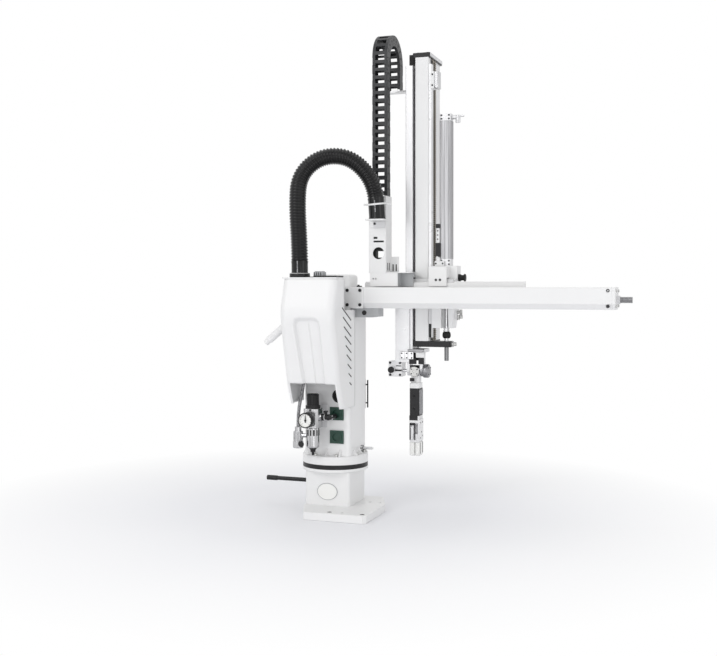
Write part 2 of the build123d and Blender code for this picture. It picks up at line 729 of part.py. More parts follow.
def make_air_tube():
    return cord_tube(TUBE_POINTS, TUBE_R)


def make_shutoff_valve():
    x, y, z = TUBE_POINTS[0]
    nut = rod_z(x, y, z - 12, z, 9.5)
    sleeve = rod_z(x, y, z - 40, z - 12, 12.5)
    foot = rod_z(x, y, z - 60, z - 40, 15)
    foot = fillet(foot.edges().sort_by(Axis.Z)[0], 3)
    side = rod_x(y, z - 24, x, UNIT_X - 18 - SLIDE_GAP, 6)
    return nut + sleeve + foot + side


# Carriage that slides along the beam

def make_shoes():
    """Two runners on the kick rail and two on the rail of the arm."""
    shoes = []
    for x0 in (BACK_X0 + 5, BACK_X1 - SHOE_L - 5):
        body = block(x0, x0 + SHOE_L, BEAM_Y1 + 3, BACK_PLATE_Y, RAIL_Z - SHOE_WALL, RAIL_TOP + SHOE_WALL)
        shoes.append(body - along_x(rail_outline(SLIDE_GAP), x0 - 1, x0 + SHOE_L + 1))
    y0 = ARM_Y0 + 4
    g = SLIDE_GAP
    for z in (GUIDE_Z0 + 12, GUIDE_Z1 - 61):
        shoe = block(ARM_X1 + 2, GUIDE_X0, y0 - 8, y0 + SIDE_RAIL_W + 8, z, z + 44)
        slot = block(ARM_X1, ARM_X1 + SIDE_RAIL_H + g, y0 - g, y0 + SIDE_RAIL_W + g, z - 1, z + 45)
        shoes.append(shoe - slot)
    return group(shoes)


def make_back_plate():
    plate = block(BACK_X0, BACK_X1, BACK_PLATE_Y, BACK_Y1, BACK_PLATE_Z, BACK_PLATE_TOP)
    for x in (170, 245):
        plate -= rod_y(x, BEAM_Z + 36, BACK_PLATE_Y - 1, BACK_Y1 + 1, 12)
    return plate


def make_chain_base():
    """The white box that reaches over the beam and carries the chain bracket."""
    base = block(BACK_X0, BACK_X0 + BASE_W, BASE_Y0, BACK_Y1, BEAM_TOP + 2, BASE_TOP)
    base -= block(BACK_X0 - 1, BACK_X0 + BASE_W + 1, BEAM_Y1 - 4, BACK_Y1 + 1, BEAM_TOP, BACK_PLATE_TOP)
    for x in (BACK_X0 + 10, BACK_X0 + 18):
        base -= rod_y(x, BASE_TOP - 16, BASE_Y0 - 1, BASE_Y0 + 6, 2.5)
    return base


def make_guide_block():
    body = block(GUIDE_X0, GUIDE_X1, BACK_Y1, GUIDE_Y1, BEAM_Z, GUIDE_Z1)
    body += block(GUIDE_X0, GUIDE_X0 + 28, BACK_Y1, GUIDE_Y1, GUIDE_Z0, BEAM_Z)
    wedge = [
        (GUIDE_X1 - 6, BEAM_Z),
        (GUIDE_X1 + 16, BEAM_Z),
        (GUIDE_X1 + 5, GUIDE_Z0),
        (GUIDE_X1 - 4, GUIDE_Z0),
    ]
    body += along_y(wedge, BACK_Y1, LIFT_Y + 24)
    body += block(GUIDE_X1, GUIDE_X1 + 22, BACK_Y1, BACK_Y1 + 40, BEAM_Z, GUIDE_Z1)
    body += block(ARM_X1 + BELT_T + 1, GUIDE_X0, BELT_Y0 - 2, BELT_Y1 + 2, BEAM_Z + 14, BEAM_Z + 44)
    body -= rod_z(LIFT_X, LIFT_Y, GUIDE_Z0 - 1, GUIDE_Z1 + 1, LIFT_ROD_R + 2)
    for x in (GUIDE_X0 + 13, GUIDE_X0 + 27):
        body -= rod_y(x, BEAM_TOP + 21, BACK_Y1 - 1, BACK_Y1 + 8, 3.5)
    return body


def make_chain_bracket():
    """The white channel that carries the standing end of the chain, with the shelf where the hose ends."""
    t = 2.5
    x0, x1 = CHAIN_X0 - 3, CHAIN_X1 + 3
    y0, y1 = BASE_Y0, CHAIN_Y0 + CHAIN_D + 3
    channel = block(x0, x1, y0, y1, BASE_TOP, CHAIN_END_Z)
    channel -= block(x0 + t, x1 - t, y0 + t, y1 + 1, BASE_TOP + t, CHAIN_END_Z - t)
    middle = (x0 + x1) / 2
    channel -= rod_y(middle + 3, BASE_TOP + 57, y0 - 1, y0 + t + 1, 17)
    channel -= block(middle - 12, middle + 19, y0 - 1, y0 + t + 1, BASE_TOP + 88, BASE_TOP + 93)
    channel -= block(middle - 12, middle, y0 - 1, y0 + t + 1, BASE_TOP + 98, BASE_TOP + 104)
    for y in (y0 + 14, y0 + 30):
        channel -= block(x1 - t - 1, x1 + 1, y, y + 6, BASE_TOP + 8, BASE_TOP + 30)
    x, y, z = HOSE_POINTS[-1]
    channel += block(x - HOSE_R - 3, x + HOSE_R + 3, y - HOSE_R - 3, BASE_Y0, z - 4, z)
    return channel + block(CHAIN_X0, CHAIN_X1, BASE_Y0 - 3, BASE_Y0, z - 22, z - 4)


def make_kick_rod():
    rod = rod_x(BEAM_Y, KICK_Z, LUG_X1, KICK_X0 + 100, KICK_ROD_R)
    piston = rod_x(BEAM_Y, KICK_Z, KICK_X0 + 100, KICK_X0 + 116, KICK_BORE_R - RUNNING)
    lug = block(LUG_X0, LUG_X1, BEAM_Y - 9, BACK_PLATE_Y, KICK_Z - 9, KICK_Z + 9)
    return rod + piston + lug


def make_kick_buffer():
    x0 = GUIDE_X1 + 22
    head = rod_x(BACK_Y1 + 16, BEAM_TOP + 27, x0, x0 + 20, 10.5)
    return fillet(head.edges().sort_by(Axis.X)[-1], 4)


def make_lift_barrel():
    h = LIFT_TUBE_W / 2
    z0 = LIFT_Z0 + LIFT_HEAD_T
    z1 = z0 + LIFT_TUBE_L
    body = block(LIFT_X - h, LIFT_X + h, LIFT_Y - h, LIFT_Y + h, z0, z1)
    for turn in (0, 90, 180, 270):
        groove = Pos(LIFT_X, LIFT_Y, (z0 + z1) / 2) * Rot(0, 0, turn) * Pos(h, 0, 0)
        body -= groove * Box(3, 5, LIFT_TUBE_L + 2)
    return body - rod_z(LIFT_X, LIFT_Y, z0 - 1, z1 + 1, LIFT_BORE_R)


def lift_head(z, hole_r):
    h = LIFT_TUBE_W / 2
    head = block(LIFT_X - h, LIFT_X + h, LIFT_Y - h, LIFT_Y + h, z, z + LIFT_HEAD_T)
    head = chamfer(vertical_edges(head), 2)
    if hole_r:
        head -= rod_z(LIFT_X, LIFT_Y, z - 1, z + LIFT_HEAD_T + 1, hole_r)
    return head


def make_lift_heads():
    z = LIFT_Z0 + LIFT_HEAD_T + LIFT_TUBE_L
    x = LIFT_X + LIFT_TUBE_W / 2
    elbow_z = z + LIFT_HEAD_T / 2
    upper = lift_head(z, 0) + rod_x(LIFT_Y, elbow_z, x, x + 22, 6)
    upper += rod_z(x + 18, LIFT_Y, elbow_z - 16, elbow_z + 6, 7)
    upper += rod_x(LIFT_Y, elbow_z + 3, x + 22, x + 36, 3)
    return group([lift_head(LIFT_Z0, LIFT_ROD_R + RUNNING), upper])


# Main arm that slides in the carriage

def make_arm_profile():
    outer = block(ARM_X0, ARM_X1, ARM_Y0, ARM_Y1, ARM_Z0, ARM_Z1)
    outer = fillet(vertical_edges(outer), 3)
    t = ARM_WALL
    middle = (ARM_Y0 + ARM_Y1) / 2
    outer -= block(ARM_X0 + t, ARM_X1 - t, ARM_Y0 + t, middle - t / 2, ARM_Z0 - 1, ARM_Z1 + 1)
    outer -= block(ARM_X0 + t, ARM_X1 - t, middle + t / 2, ARM_Y1 - t, ARM_Z0 - 1, ARM_Z1 + 1)
    return outer


def make_arm_cap():
    """The black cap of the arm, with the stop pad of the sub arm under it."""
    cap = block(ARM_X0 - 8, ARM_X1 + 4, ARM_Y0 + 2, ARM_Y1 + 9, ARM_Z1, ARM_Z1 + ARM_CAP_T)
    cap = chamfer(vertical_edges(cap), 3)
    pad_z = SUB_Z1 + 2
    return cap + block(ARM_X0 - 19, ARM_X0 - 5, ARM_Y0 + 6, ARM_Y0 + 28, pad_z, ARM_Z1 + ARM_CAP_T - 4)


def make_arm_foot():
    z0 = ARM_Z0 - FOOT_T
    foot = block(ARM_X0 - 5, ARM_X1, ARM_Y0, ARM_Y1, z0, ARM_Z0)
    foot += block(ARM_X1, LIFT_X + 16, LIFT_Y - 19, LIFT_Y + 19, z0, ARM_Z0)
    foot = chamfer(vertical_edges(foot).sort_by(Axis.X)[-2:], 3)
    nut_x, nut_z = LIFT_X + 16, ARM_Z0 - FOOT_T / 2
    foot += rod_x(LIFT_Y, nut_z, nut_x, nut_x + 5, 7.5) + rod_x(LIFT_Y, nut_z, nut_x + 5, nut_x + 13, 5)
    return foot - rod_z(LIFT_X, LIFT_Y, z0 - 1, ARM_Z0 + 1, LIFT_ROD_R + RUNNING)


def make_arm_rails():
    """The rail on the right of the arm, with its upper stop, and the rail on its left for the sub arm."""
    y0 = ARM_Y0 + 4
    foot_z = ARM_Z0 + SIDE_RAIL_FOOT
    right = block(ARM_X1, ARM_X1 + SIDE_RAIL_H, y0, y0 + SIDE_RAIL_W, foot_z, ARM_Z1 - SIDE_RAIL_DROP)
    left = block(ARM_X0 - 10, ARM_X0, SUB_RAIL_Y, SUB_RAIL_Y + SIDE_RAIL_W, foot_z, ARM_Z1)
    x0, z0 = ARM_X1 + SIDE_RAIL_H, ARM_Z1 - STOP_DROP
    x1, z1 = x0 + STOP_OUT, z0 + STOP_H
    y0, y1 = y0 - 4, y0 - 4 + STOP_D
    right += block(x0, x0 + 8, y0, y1, z0, z1)
    right += block(x0 + 8, x1, y0 + 2, y1 - 2, z0 + 6, z1)
    right -= block(x0 + 12, x1 + 1, y0 + 8, y1 - 8, z0 + 14, z1 - 7)
    return group([right, left])


def make_belt():
    strands = []
    for y0, y1 in ((BELT_Y0, BELT_Y0 + 14), (BELT_Y1 - 16, BELT_Y1)):
        strands.append(block(ARM_X1, ARM_X1 + BELT_T, y0, y1, ARM_Z0, ARM_Z1))
    return group(strands)


def make_lift_rod():
    z1 = LIFT_Z0 + LIFT_HEAD_T + LIFT_TUBE_L - 22
    rod = rod_z(LIFT_X, LIFT_Y, ARM_Z0 - FOOT_T - 40, z1, LIFT_ROD_R)
    return rod + rod_z(LIFT_X, LIFT_Y, z1, z1 + 15, LIFT_BORE_R - RUNNING)


def make_rod_buffer():
    pad = rod_z(LIFT_X, LIFT_Y, ARM_Z0, ARM_Z0 + 30, 12)
    pad = fillet(pad.edges(), 4)
    return pad - rod_z(LIFT_X, LIFT_Y, ARM_Z0 - 1, ARM_Z0 + 31, LIFT_ROD_R + RUNNING)


# Cable chain

def chain_link_bars(z):
    """The outer and inner cross bars of one upright link whose lower end is at z."""
    x0, x1 = CHAIN_X0 + CHAIN_SIDE_T, CHAIN_X1 - CHAIN_SIDE_T
    z0 = z + (CHAIN_PITCH - CHAIN_BAR_H) / 2
    y0, y1 = CHAIN_Y0 + CHAIN_BAR_SET, CHAIN_Y0 + CHAIN_D - CHAIN_BAR_SET
    outer = block(x0, x1, y0, y0 + CHAIN_BAR_T, z0, z0 + CHAIN_BAR_H)
    inner = block(x0, x1, y1 - CHAIN_BAR_T, y1, z0, z0 + CHAIN_BAR_H)
    return [outer, inner]


def chain_run(z0, links, shift_y):
    """A straight run of links from z0 up, moved by shift_y from the front run."""
    y0, y1 = CHAIN_Y0, CHAIN_Y0 + CHAIN_D
    z1 = z0 + links * CHAIN_PITCH
    run = block(CHAIN_X0, CHAIN_X0 + CHAIN_SIDE_T, y0, y1, z0, z1)
    run += block(CHAIN_X1 - CHAIN_SIDE_T, CHAIN_X1, y0, y1, z0, z1)
    for i in range(links):
        for bar in chain_link_bars(z0 + i * CHAIN_PITCH):
            run += bar
    return Pos(0, shift_y, 0) * run


def make_chain_front_run():
    return chain_run(CHAIN_END_Z, CHAIN_LINKS, 0)


def make_chain_rear_run():
    return chain_run(CHAIN_TAIL_Z, CHAIN_TAIL_LINKS, CHAIN_REAR_Y - CHAIN_Y0)


def make_chain_loop():
    """The half loop at the top of the chain."""
    low = CHAIN_LOOP_Z - CHAIN_R - 1
    loop = None
    for x0 in (CHAIN_X0, CHAIN_X1 - CHAIN_SIDE_T):
        band = rod_x(CHAIN_LOOP_Y, CHAIN_LOOP_Z, x0, x0 + CHAIN_SIDE_T, CHAIN_R)
        band -= rod_x(CHAIN_LOOP_Y, CHAIN_LOOP_Z, x0 - 1, x0 + CHAIN_SIDE_T + 1, CHAIN_R - CHAIN_D)
        y0, y1 = CHAIN_Y0 - 1, CHAIN_Y0 + 2 * CHAIN_R + 1
        band -= block(x0 - 1, x0 + CHAIN_SIDE_T + 1, y0, y1, low, CHAIN_LOOP_Z)
        loop = band if loop is None else loop + band
    step = 180 / CHAIN_ARC_LINKS
    for i in range(CHAIN_ARC_LINKS):
        turn = Pos(0, CHAIN_LOOP_Y, CHAIN_LOOP_Z) * Rot(-step * (i + 0.5), 0, 0)
        for bar in chain_link_bars(CHAIN_LOOP_Z - CHAIN_PITCH / 2):
            loop += turn * Pos(0, -CHAIN_LOOP_Y, -CHAIN_LOOP_Z) * bar
    return loop


# Sub arm that slides on the main arm, and what it carries

def make_sub_arm():
    """The sub arm with the shelf for the moving end of the chain."""
    outer = block(SUB_X0, SUB_X1, SUB_Y0, SUB_Y1, SUB_Z0, SUB_Z1)
    outer = fillet(vertical_edges(outer), 2)
    g = SLIDE_GAP
    rail_x = ARM_X0 - 10 - g
    outer -= block(rail_x, SUB_X1 + 1, SUB_RAIL_Y - g, SUB_RAIL_Y + SIDE_RAIL_W + g, SUB_Z0 - 1, SUB_Z1 + 1)
    hollow_x1 = rail_x - SUB_WALL
    outer -= block(SUB_X0 + SUB_WALL, hollow_x1, SUB_Y0 + SUB_WALL, SUB_Y1 - SUB_WALL, SUB_Z0 - 1, SUB_Z1 + 1)
    z = CHAIN_TAIL_Z
    outer += block(CHAIN_X0, SUB_X0, CHAIN_REAR_Y, CHAIN_REAR_Y + CHAIN_D, z - SHELF_T, z)
    foot_y0, foot_y1 = CHAIN_REAR_Y - 10, SUB_Y1 - SUB_WALL
    return outer + block(SUB_X0 - SHELF_T, SUB_X0, foot_y0, foot_y1, z - SHELF_FOOT_H, z)


def make_flip_bracket():
    """The plate down the front of the sub arm, with the two ears that carry the wrist."""
    z1 = SUB_Z0 - FLIP_TOP_T
    x0, x1 = SUB_X0 - 14, HUB_X1 + 0.5 + EAR_T + 4.5
    bracket = block(x0, x1, SUB_Y0, SUB_Y0 + FLIP_TOP_D, z1, SUB_Z0)
    x0 = SUB_X0 - FLIP_PLATE_OUT
    bracket += block(x0, x0 + FLIP_PLATE_W, SUB_Y0 - 6, SUB_Y0, SUB_Z0 - FLIP_PLATE_DROP, SUB_Z0 + FLIP_PLATE_RISE)
    for x0 in (HUB_X0 - 0.5 - EAR_T, HUB_X1 + 0.5):
        ear = block(x0, x0 + EAR_T, FLIP_Y - 15, FLIP_Y + 15, FLIP_Z, z1)
        ear += rod_x(FLIP_Y, FLIP_Z, x0, x0 + EAR_T, 15)
        bracket += ear - rod_x(FLIP_Y, FLIP_Z, x0 - 1, x0 + EAR_T + 1, PIVOT_R + RUNNING)
    return bracket


def make_flip_cylinder():
    x1 = HUB_X0 - 0.5 - EAR_T
    x0 = x1 - 54
    body = block(x0, x1 - 14, SUB_Y0, SUB_Y0 + 40, FLIP_Z - 17, FLIP_Z + 28)
    body = chamfer(body.edges().filter_by(Axis.X), 2)
    for y in (FLIP_Y - 11, FLIP_Y + 11):
        body += rod_x(y, FLIP_Z, x1 - 14, x1, 3)
    return body + rod_y(x0 + 11, FLIP_Z + 3, SUB_Y0 - 8, SUB_Y0, 8.5)


def make_flip_drum():
    x0 = HUB_X1 + 0.5 + EAR_T
    drum = rod_x(FLIP_Y, FLIP_Z, x0, x0 + 27, 20)
    return fillet(drum.edges().sort_by(Axis.X)[-1], 3)


# Flipping wrist and its gripper

def make_flip_hub():
    hub = rod_x(FLIP_Y, FLIP_Z, HUB_X0, HUB_X1, HUB_R)
    hub = chamfer(hub.edges(), 1.5)
    return hub + rod_x(FLIP_Y, FLIP_Z, HUB_X0 - 0.5 - EAR_T, HUB_X1 + 0.5 + EAR_T, PIVOT_R)


def make_wrist_neck():
    """The white block under the hub, hollowed to sit against it."""
    h = STICK_D / 2
    neck = block(HUB_X0 + 2, HUB_X1 - 2, FLIP_Y - 10, FLIP_Y + 10, POSTURE_Z1 + 15, FLIP_Z)
    neck -= rod_x(FLIP_Y, FLIP_Z, HUB_X0 - 1, HUB_X1 + 1, HUB_R)
    foot = block(HUB_X0, HUB_X1, FLIP_Y - h, FLIP_Y + h, POSTURE_Z1, POSTURE_Z1 + 15)
    return neck + chamfer(vertical_edges(foot), 3)


def make_posture_body():
    h = STICK_D / 2
    body = block(HUB_X0, HUB_X1, FLIP_Y - h, FLIP_Y + h, POSTURE_Z0, POSTURE_Z1)
    body = chamfer(vertical_edges(body), 2)
    for z in (POSTURE_Z0 + 20, POSTURE_Z1 - 22):
        body -= rod_y(STICK_X, z, FLIP_Y - h - 1, FLIP_Y - h + 4, 3)
    return body


def make_gripper_body():
    """A fork whose two cheeks hold the jaw pins, with its cylinder between them at the top."""
    h = STICK_D / 2 - 1
    roof = POSTURE_Z0 - GRIP_ROOF
    body = block(HUB_X0, HUB_X1, FLIP_Y - h, FLIP_Y + h, GRIP_Z0, POSTURE_Z0)
    slot = JAW_T / 2 + SLIDE_GAP
    body -= block(HUB_X0 - 1, HUB_X1 + 1, FLIP_Y - slot, FLIP_Y + slot, GRIP_Z0 - 1, roof)
    for side in (-1, 1):
        body -= rod_y(jaw_x(side), JAW_PIN_Z, FLIP_Y - h - 1, FLIP_Y + h + 1, JAW_PIN_R + RUNNING)
    body -= block(HUB_X0 + 5, HUB_X1 - 5, FLIP_Y - h - 1, FLIP_Y + h + 1, JAW_PIN_Z + 14, roof - 8)
    return body + rod_z(STICK_X, FLIP_Y, JAW_PIN_Z + 14, roof, 5)


def jaw_x(side):
    """X of a jaw's pin; side is -1 for the left jaw and 1 for the right."""
    return STICK_X + side * (JAW_GAP + JAW_W) / 2


def make_jaw(side):
    x = jaw_x(side)
    z1 = JAW_PIN_Z + 8
    z0 = z1 - JAW_L
    h = JAW_T / 2
    jaw = block(x - JAW_W / 2, x + JAW_W / 2, FLIP_Y - h, FLIP_Y + h, z0, z1)
    jaw = fillet(jaw.edges().filter_by(Axis.Y).sort_by(Axis.Z)[-2:], JAW_W / 2 - 0.5)
    inner = x - side * JAW_W / 2
    for i in range(4):
        jaw -= rod_y(inner, z0 + 5 + 7 * i, FLIP_Y - h - 1, FLIP_Y + h + 1, 2)
    pin = rod_y(x, JAW_PIN_Z, FLIP_Y - STICK_D / 2 + 1, FLIP_Y + STICK_D / 2 - 1, JAW_PIN_R)
    return jaw + pin


def make_jaw_left():
    return make_jaw(-1)


def make_jaw_right():
    return make_jaw(1)


# Hose

def make_hose():
    return cord_tube(HOSE_POINTS, HOSE_R)


PARTS = {
    "base_plate": make_base_plate,
    "pedestal": make_pedestal,
    "side_bar": make_side_bar,
    "bearing_outer_ring": make_bearing_outer,
    "actuator_shaft": make_actuator_shaft,
    "bearing_inner_ring": make_bearing_inner,
    "upper_flange": make_upper_flange,
    "column": make_column,
    "port_plates": make_port_plates,
    "swing_actuator": make_swing_actuator,
    "rear_cover": make_rear_cover,
    "swing_sensor": make_swing_sensor,
    "front_cover": make_cover,
    "cover_lid": make_lid,
    "swing_damper": make_swing_damper,
    "beam": make_beam,
    "beam_end_cap": make_beam_cap,
    "stroke_adjuster": make_stroke_adjuster,
    "beam_saddle": make_saddle,
    "beam_bracket": make_beam_bracket,
    "kick_rail": make_cross_rail,
    "kick_barrel": make_kick_barrel,
    "service_unit_body": make_unit_body,
    "regulator_knob": make_knob,
    "filter_bowl": make_bowl,
    "service_unit_bracket": make_unit_bracket,
    "pressure_gauge": make_gauge,
    "gauge_needle": make_needle,
    "air_tube": make_air_tube,
    "shutoff_valve": make_shutoff_valve,
    "corrugated_hose": make_hose,
    "carriage_shoes": make_shoes,
    "carriage_back_plate": make_back_plate,
    "chain_base": make_chain_base,
    "arm_guide_block": make_guide_block,
    "chain_bracket": make_chain_bracket,
    "kick_rod": make_kick_rod,
    "kick_buffer": make_kick_buffer,
    "lift_barrel": make_lift_barrel,
    "lift_heads": make_lift_heads,
    "arm_profile": make_arm_profile,
    "arm_top_cap": make_arm_cap,
    "arm_foot_plate": make_arm_foot,
    "arm_rails": make_arm_rails,
    "rod_buffer": make_rod_buffer,
    "drive_belt": make_belt,
    "lift_rod": make_lift_rod,
    "chain_front_run": make_chain_front_run,
    "chain_rear_run": make_chain_rear_run,
    "chain_loop": make_chain_loop,
    "sub_arm": make_sub_arm,
    "flip_bracket": make_flip_bracket,
    "flip_cylinder": make_flip_cylinder,
    "flip_drum": make_flip_drum,
    "flip_hub": make_flip_hub,
    "wrist_neck": make_wrist_neck,
    "posture_body": make_posture_body,
    "gripper_body": make_gripper_body,
    "jaw_left": make_jaw_left,
    "jaw_right": make_jaw_right,
}

os.makedirs("parts", exist_ok=True)
for name, make in PARTS.items():
    export_step(make(), "parts/" + name + ".step")
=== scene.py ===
"""Looks of the swing-arm manipulator: materials, hose, chain, fittings, camera and light."""
import json
import math

import bmesh
import bpy
from mathutils import Matrix, Vector


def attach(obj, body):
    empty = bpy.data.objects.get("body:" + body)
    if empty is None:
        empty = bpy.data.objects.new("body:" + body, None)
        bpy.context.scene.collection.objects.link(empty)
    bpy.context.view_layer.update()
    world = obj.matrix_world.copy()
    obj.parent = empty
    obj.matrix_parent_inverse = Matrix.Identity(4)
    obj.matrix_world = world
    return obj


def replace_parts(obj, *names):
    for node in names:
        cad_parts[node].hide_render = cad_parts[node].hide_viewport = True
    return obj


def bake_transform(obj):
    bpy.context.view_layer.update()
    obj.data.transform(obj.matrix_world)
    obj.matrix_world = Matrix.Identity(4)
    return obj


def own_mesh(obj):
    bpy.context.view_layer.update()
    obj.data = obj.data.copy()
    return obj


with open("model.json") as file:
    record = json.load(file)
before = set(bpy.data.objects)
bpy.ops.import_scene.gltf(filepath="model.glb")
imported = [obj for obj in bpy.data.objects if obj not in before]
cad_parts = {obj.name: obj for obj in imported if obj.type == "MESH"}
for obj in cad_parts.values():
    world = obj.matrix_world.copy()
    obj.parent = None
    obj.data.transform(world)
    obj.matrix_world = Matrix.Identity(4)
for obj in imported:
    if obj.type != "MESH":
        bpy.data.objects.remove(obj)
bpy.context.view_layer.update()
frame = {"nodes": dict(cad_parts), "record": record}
NODES = frame["nodes"]
MM = 0.001


# Materials: every finish is made of noise in object space, so that its grain has a real size.

COAT_ROUGHNESS = 0.15
GRAIN_DEPTH = 0.0004


def link(tree, source, target):
    tree.links.new(source, target)


def noise(tree, scale, detail, stretch=(1, 1, 1)):
    """A noise pattern with scale in features per metre."""
    place = tree.nodes.new("ShaderNodeTexCoord")
    mapping = tree.nodes.new("ShaderNodeMapping")
    mapping.inputs["Scale"].default_value = stretch
    texture = tree.nodes.new("ShaderNodeTexNoise")
    texture.inputs["Scale"].default_value = scale
    texture.inputs["Detail"].default_value = detail
    link(tree, place.outputs["Object"], mapping.inputs["Vector"])
    link(tree, mapping.outputs["Vector"], texture.inputs["Vector"])
    return texture.outputs["Fac"]


def remap(tree, value, low, high, from_low=0.3, from_high=0.7):
    node = tree.nodes.new("ShaderNodeMapRange")
    node.inputs["From Min"].default_value = from_low
    node.inputs["From Max"].default_value = from_high
    node.inputs["To Min"].default_value = low
    node.inputs["To Max"].default_value = high
    link(tree, value, node.inputs["Value"])
    return node.outputs["Result"]


def blend_colours(tree, factor, first, second):
    node = tree.nodes.new("ShaderNodeMix")
    node.data_type = "RGBA"
    link(tree, factor, node.inputs["Factor"])
    for socket, colour in ((node.inputs["A"], first), (node.inputs["B"], second)):
        if isinstance(colour, bpy.types.NodeSocket):
            link(tree, colour, socket)
        else:
            socket.default_value = (*colour, 1)
    return node.outputs["Result"]


def edge_mask(tree, radius):
    """1 on sharp edges and 0 on flat faces."""
    bevel = tree.nodes.new("ShaderNodeBevel")
    bevel.samples = 4
    bevel.inputs["Radius"].default_value = radius
    geometry = tree.nodes.new("ShaderNodeNewGeometry")
    dot = tree.nodes.new("ShaderNodeVectorMath")
    dot.operation = "DOT_PRODUCT"
    link(tree, bevel.outputs["Normal"], dot.inputs[0])
    link(tree, geometry.outputs["Normal"], dot.inputs[1])
    return bevel.outputs["Normal"], remap(tree, dot.outputs["Value"], 1.0, 0.0, 0.75, 0.97)


def finish(name, colour, rough, metal=0.0, spread=0.04, patch=7.0, stretch=(1, 1, 1),
           grain=900.0, relief=0.05, edge=0.0006, wear=0.0, worn=(0.6, 0.6, 0.6), coat=0.0,
           gloss=0.5):
    """A finish with blotches, a fine grain, rounded edges and, where wear is set, rubbed edges."""
    made = bpy.data.materials.new(name)
    made.use_nodes = True
    tree = made.node_tree
    shader = tree.nodes["Principled BSDF"]
    shader.inputs["Metallic"].default_value = metal
    shader.inputs["Specular IOR Level"].default_value = gloss
    shader.inputs["Coat Weight"].default_value = coat
    shader.inputs["Coat Roughness"].default_value = COAT_ROUGHNESS
    blotch = noise(tree, patch, 4.0, stretch)
    fine = noise(tree, grain, 2.0, stretch)
    dark = [c * (1 - spread) for c in colour]
    light = [min(1, c * (1 + spread)) for c in colour]
    paint = blend_colours(tree, remap(tree, blotch, 0, 1), dark, light)
    normal, mask = edge_mask(tree, edge)
    if wear:
        paint = blend_colours(tree, remap(tree, mask, 0, wear, 0, 1), paint, worn)
    link(tree, paint, shader.inputs["Base Color"])
    link(tree, remap(tree, blotch, rough * 0.88, rough * 1.12), shader.inputs["Roughness"])
    bump = tree.nodes.new("ShaderNodeBump")
    bump.inputs["Strength"].default_value = relief
    bump.inputs["Distance"].default_value = GRAIN_DEPTH
    link(tree, fine, bump.inputs["Height"])
    link(tree, normal, bump.inputs["Normal"])
    link(tree, bump.outputs["Normal"], shader.inputs["Normal"])
    return made


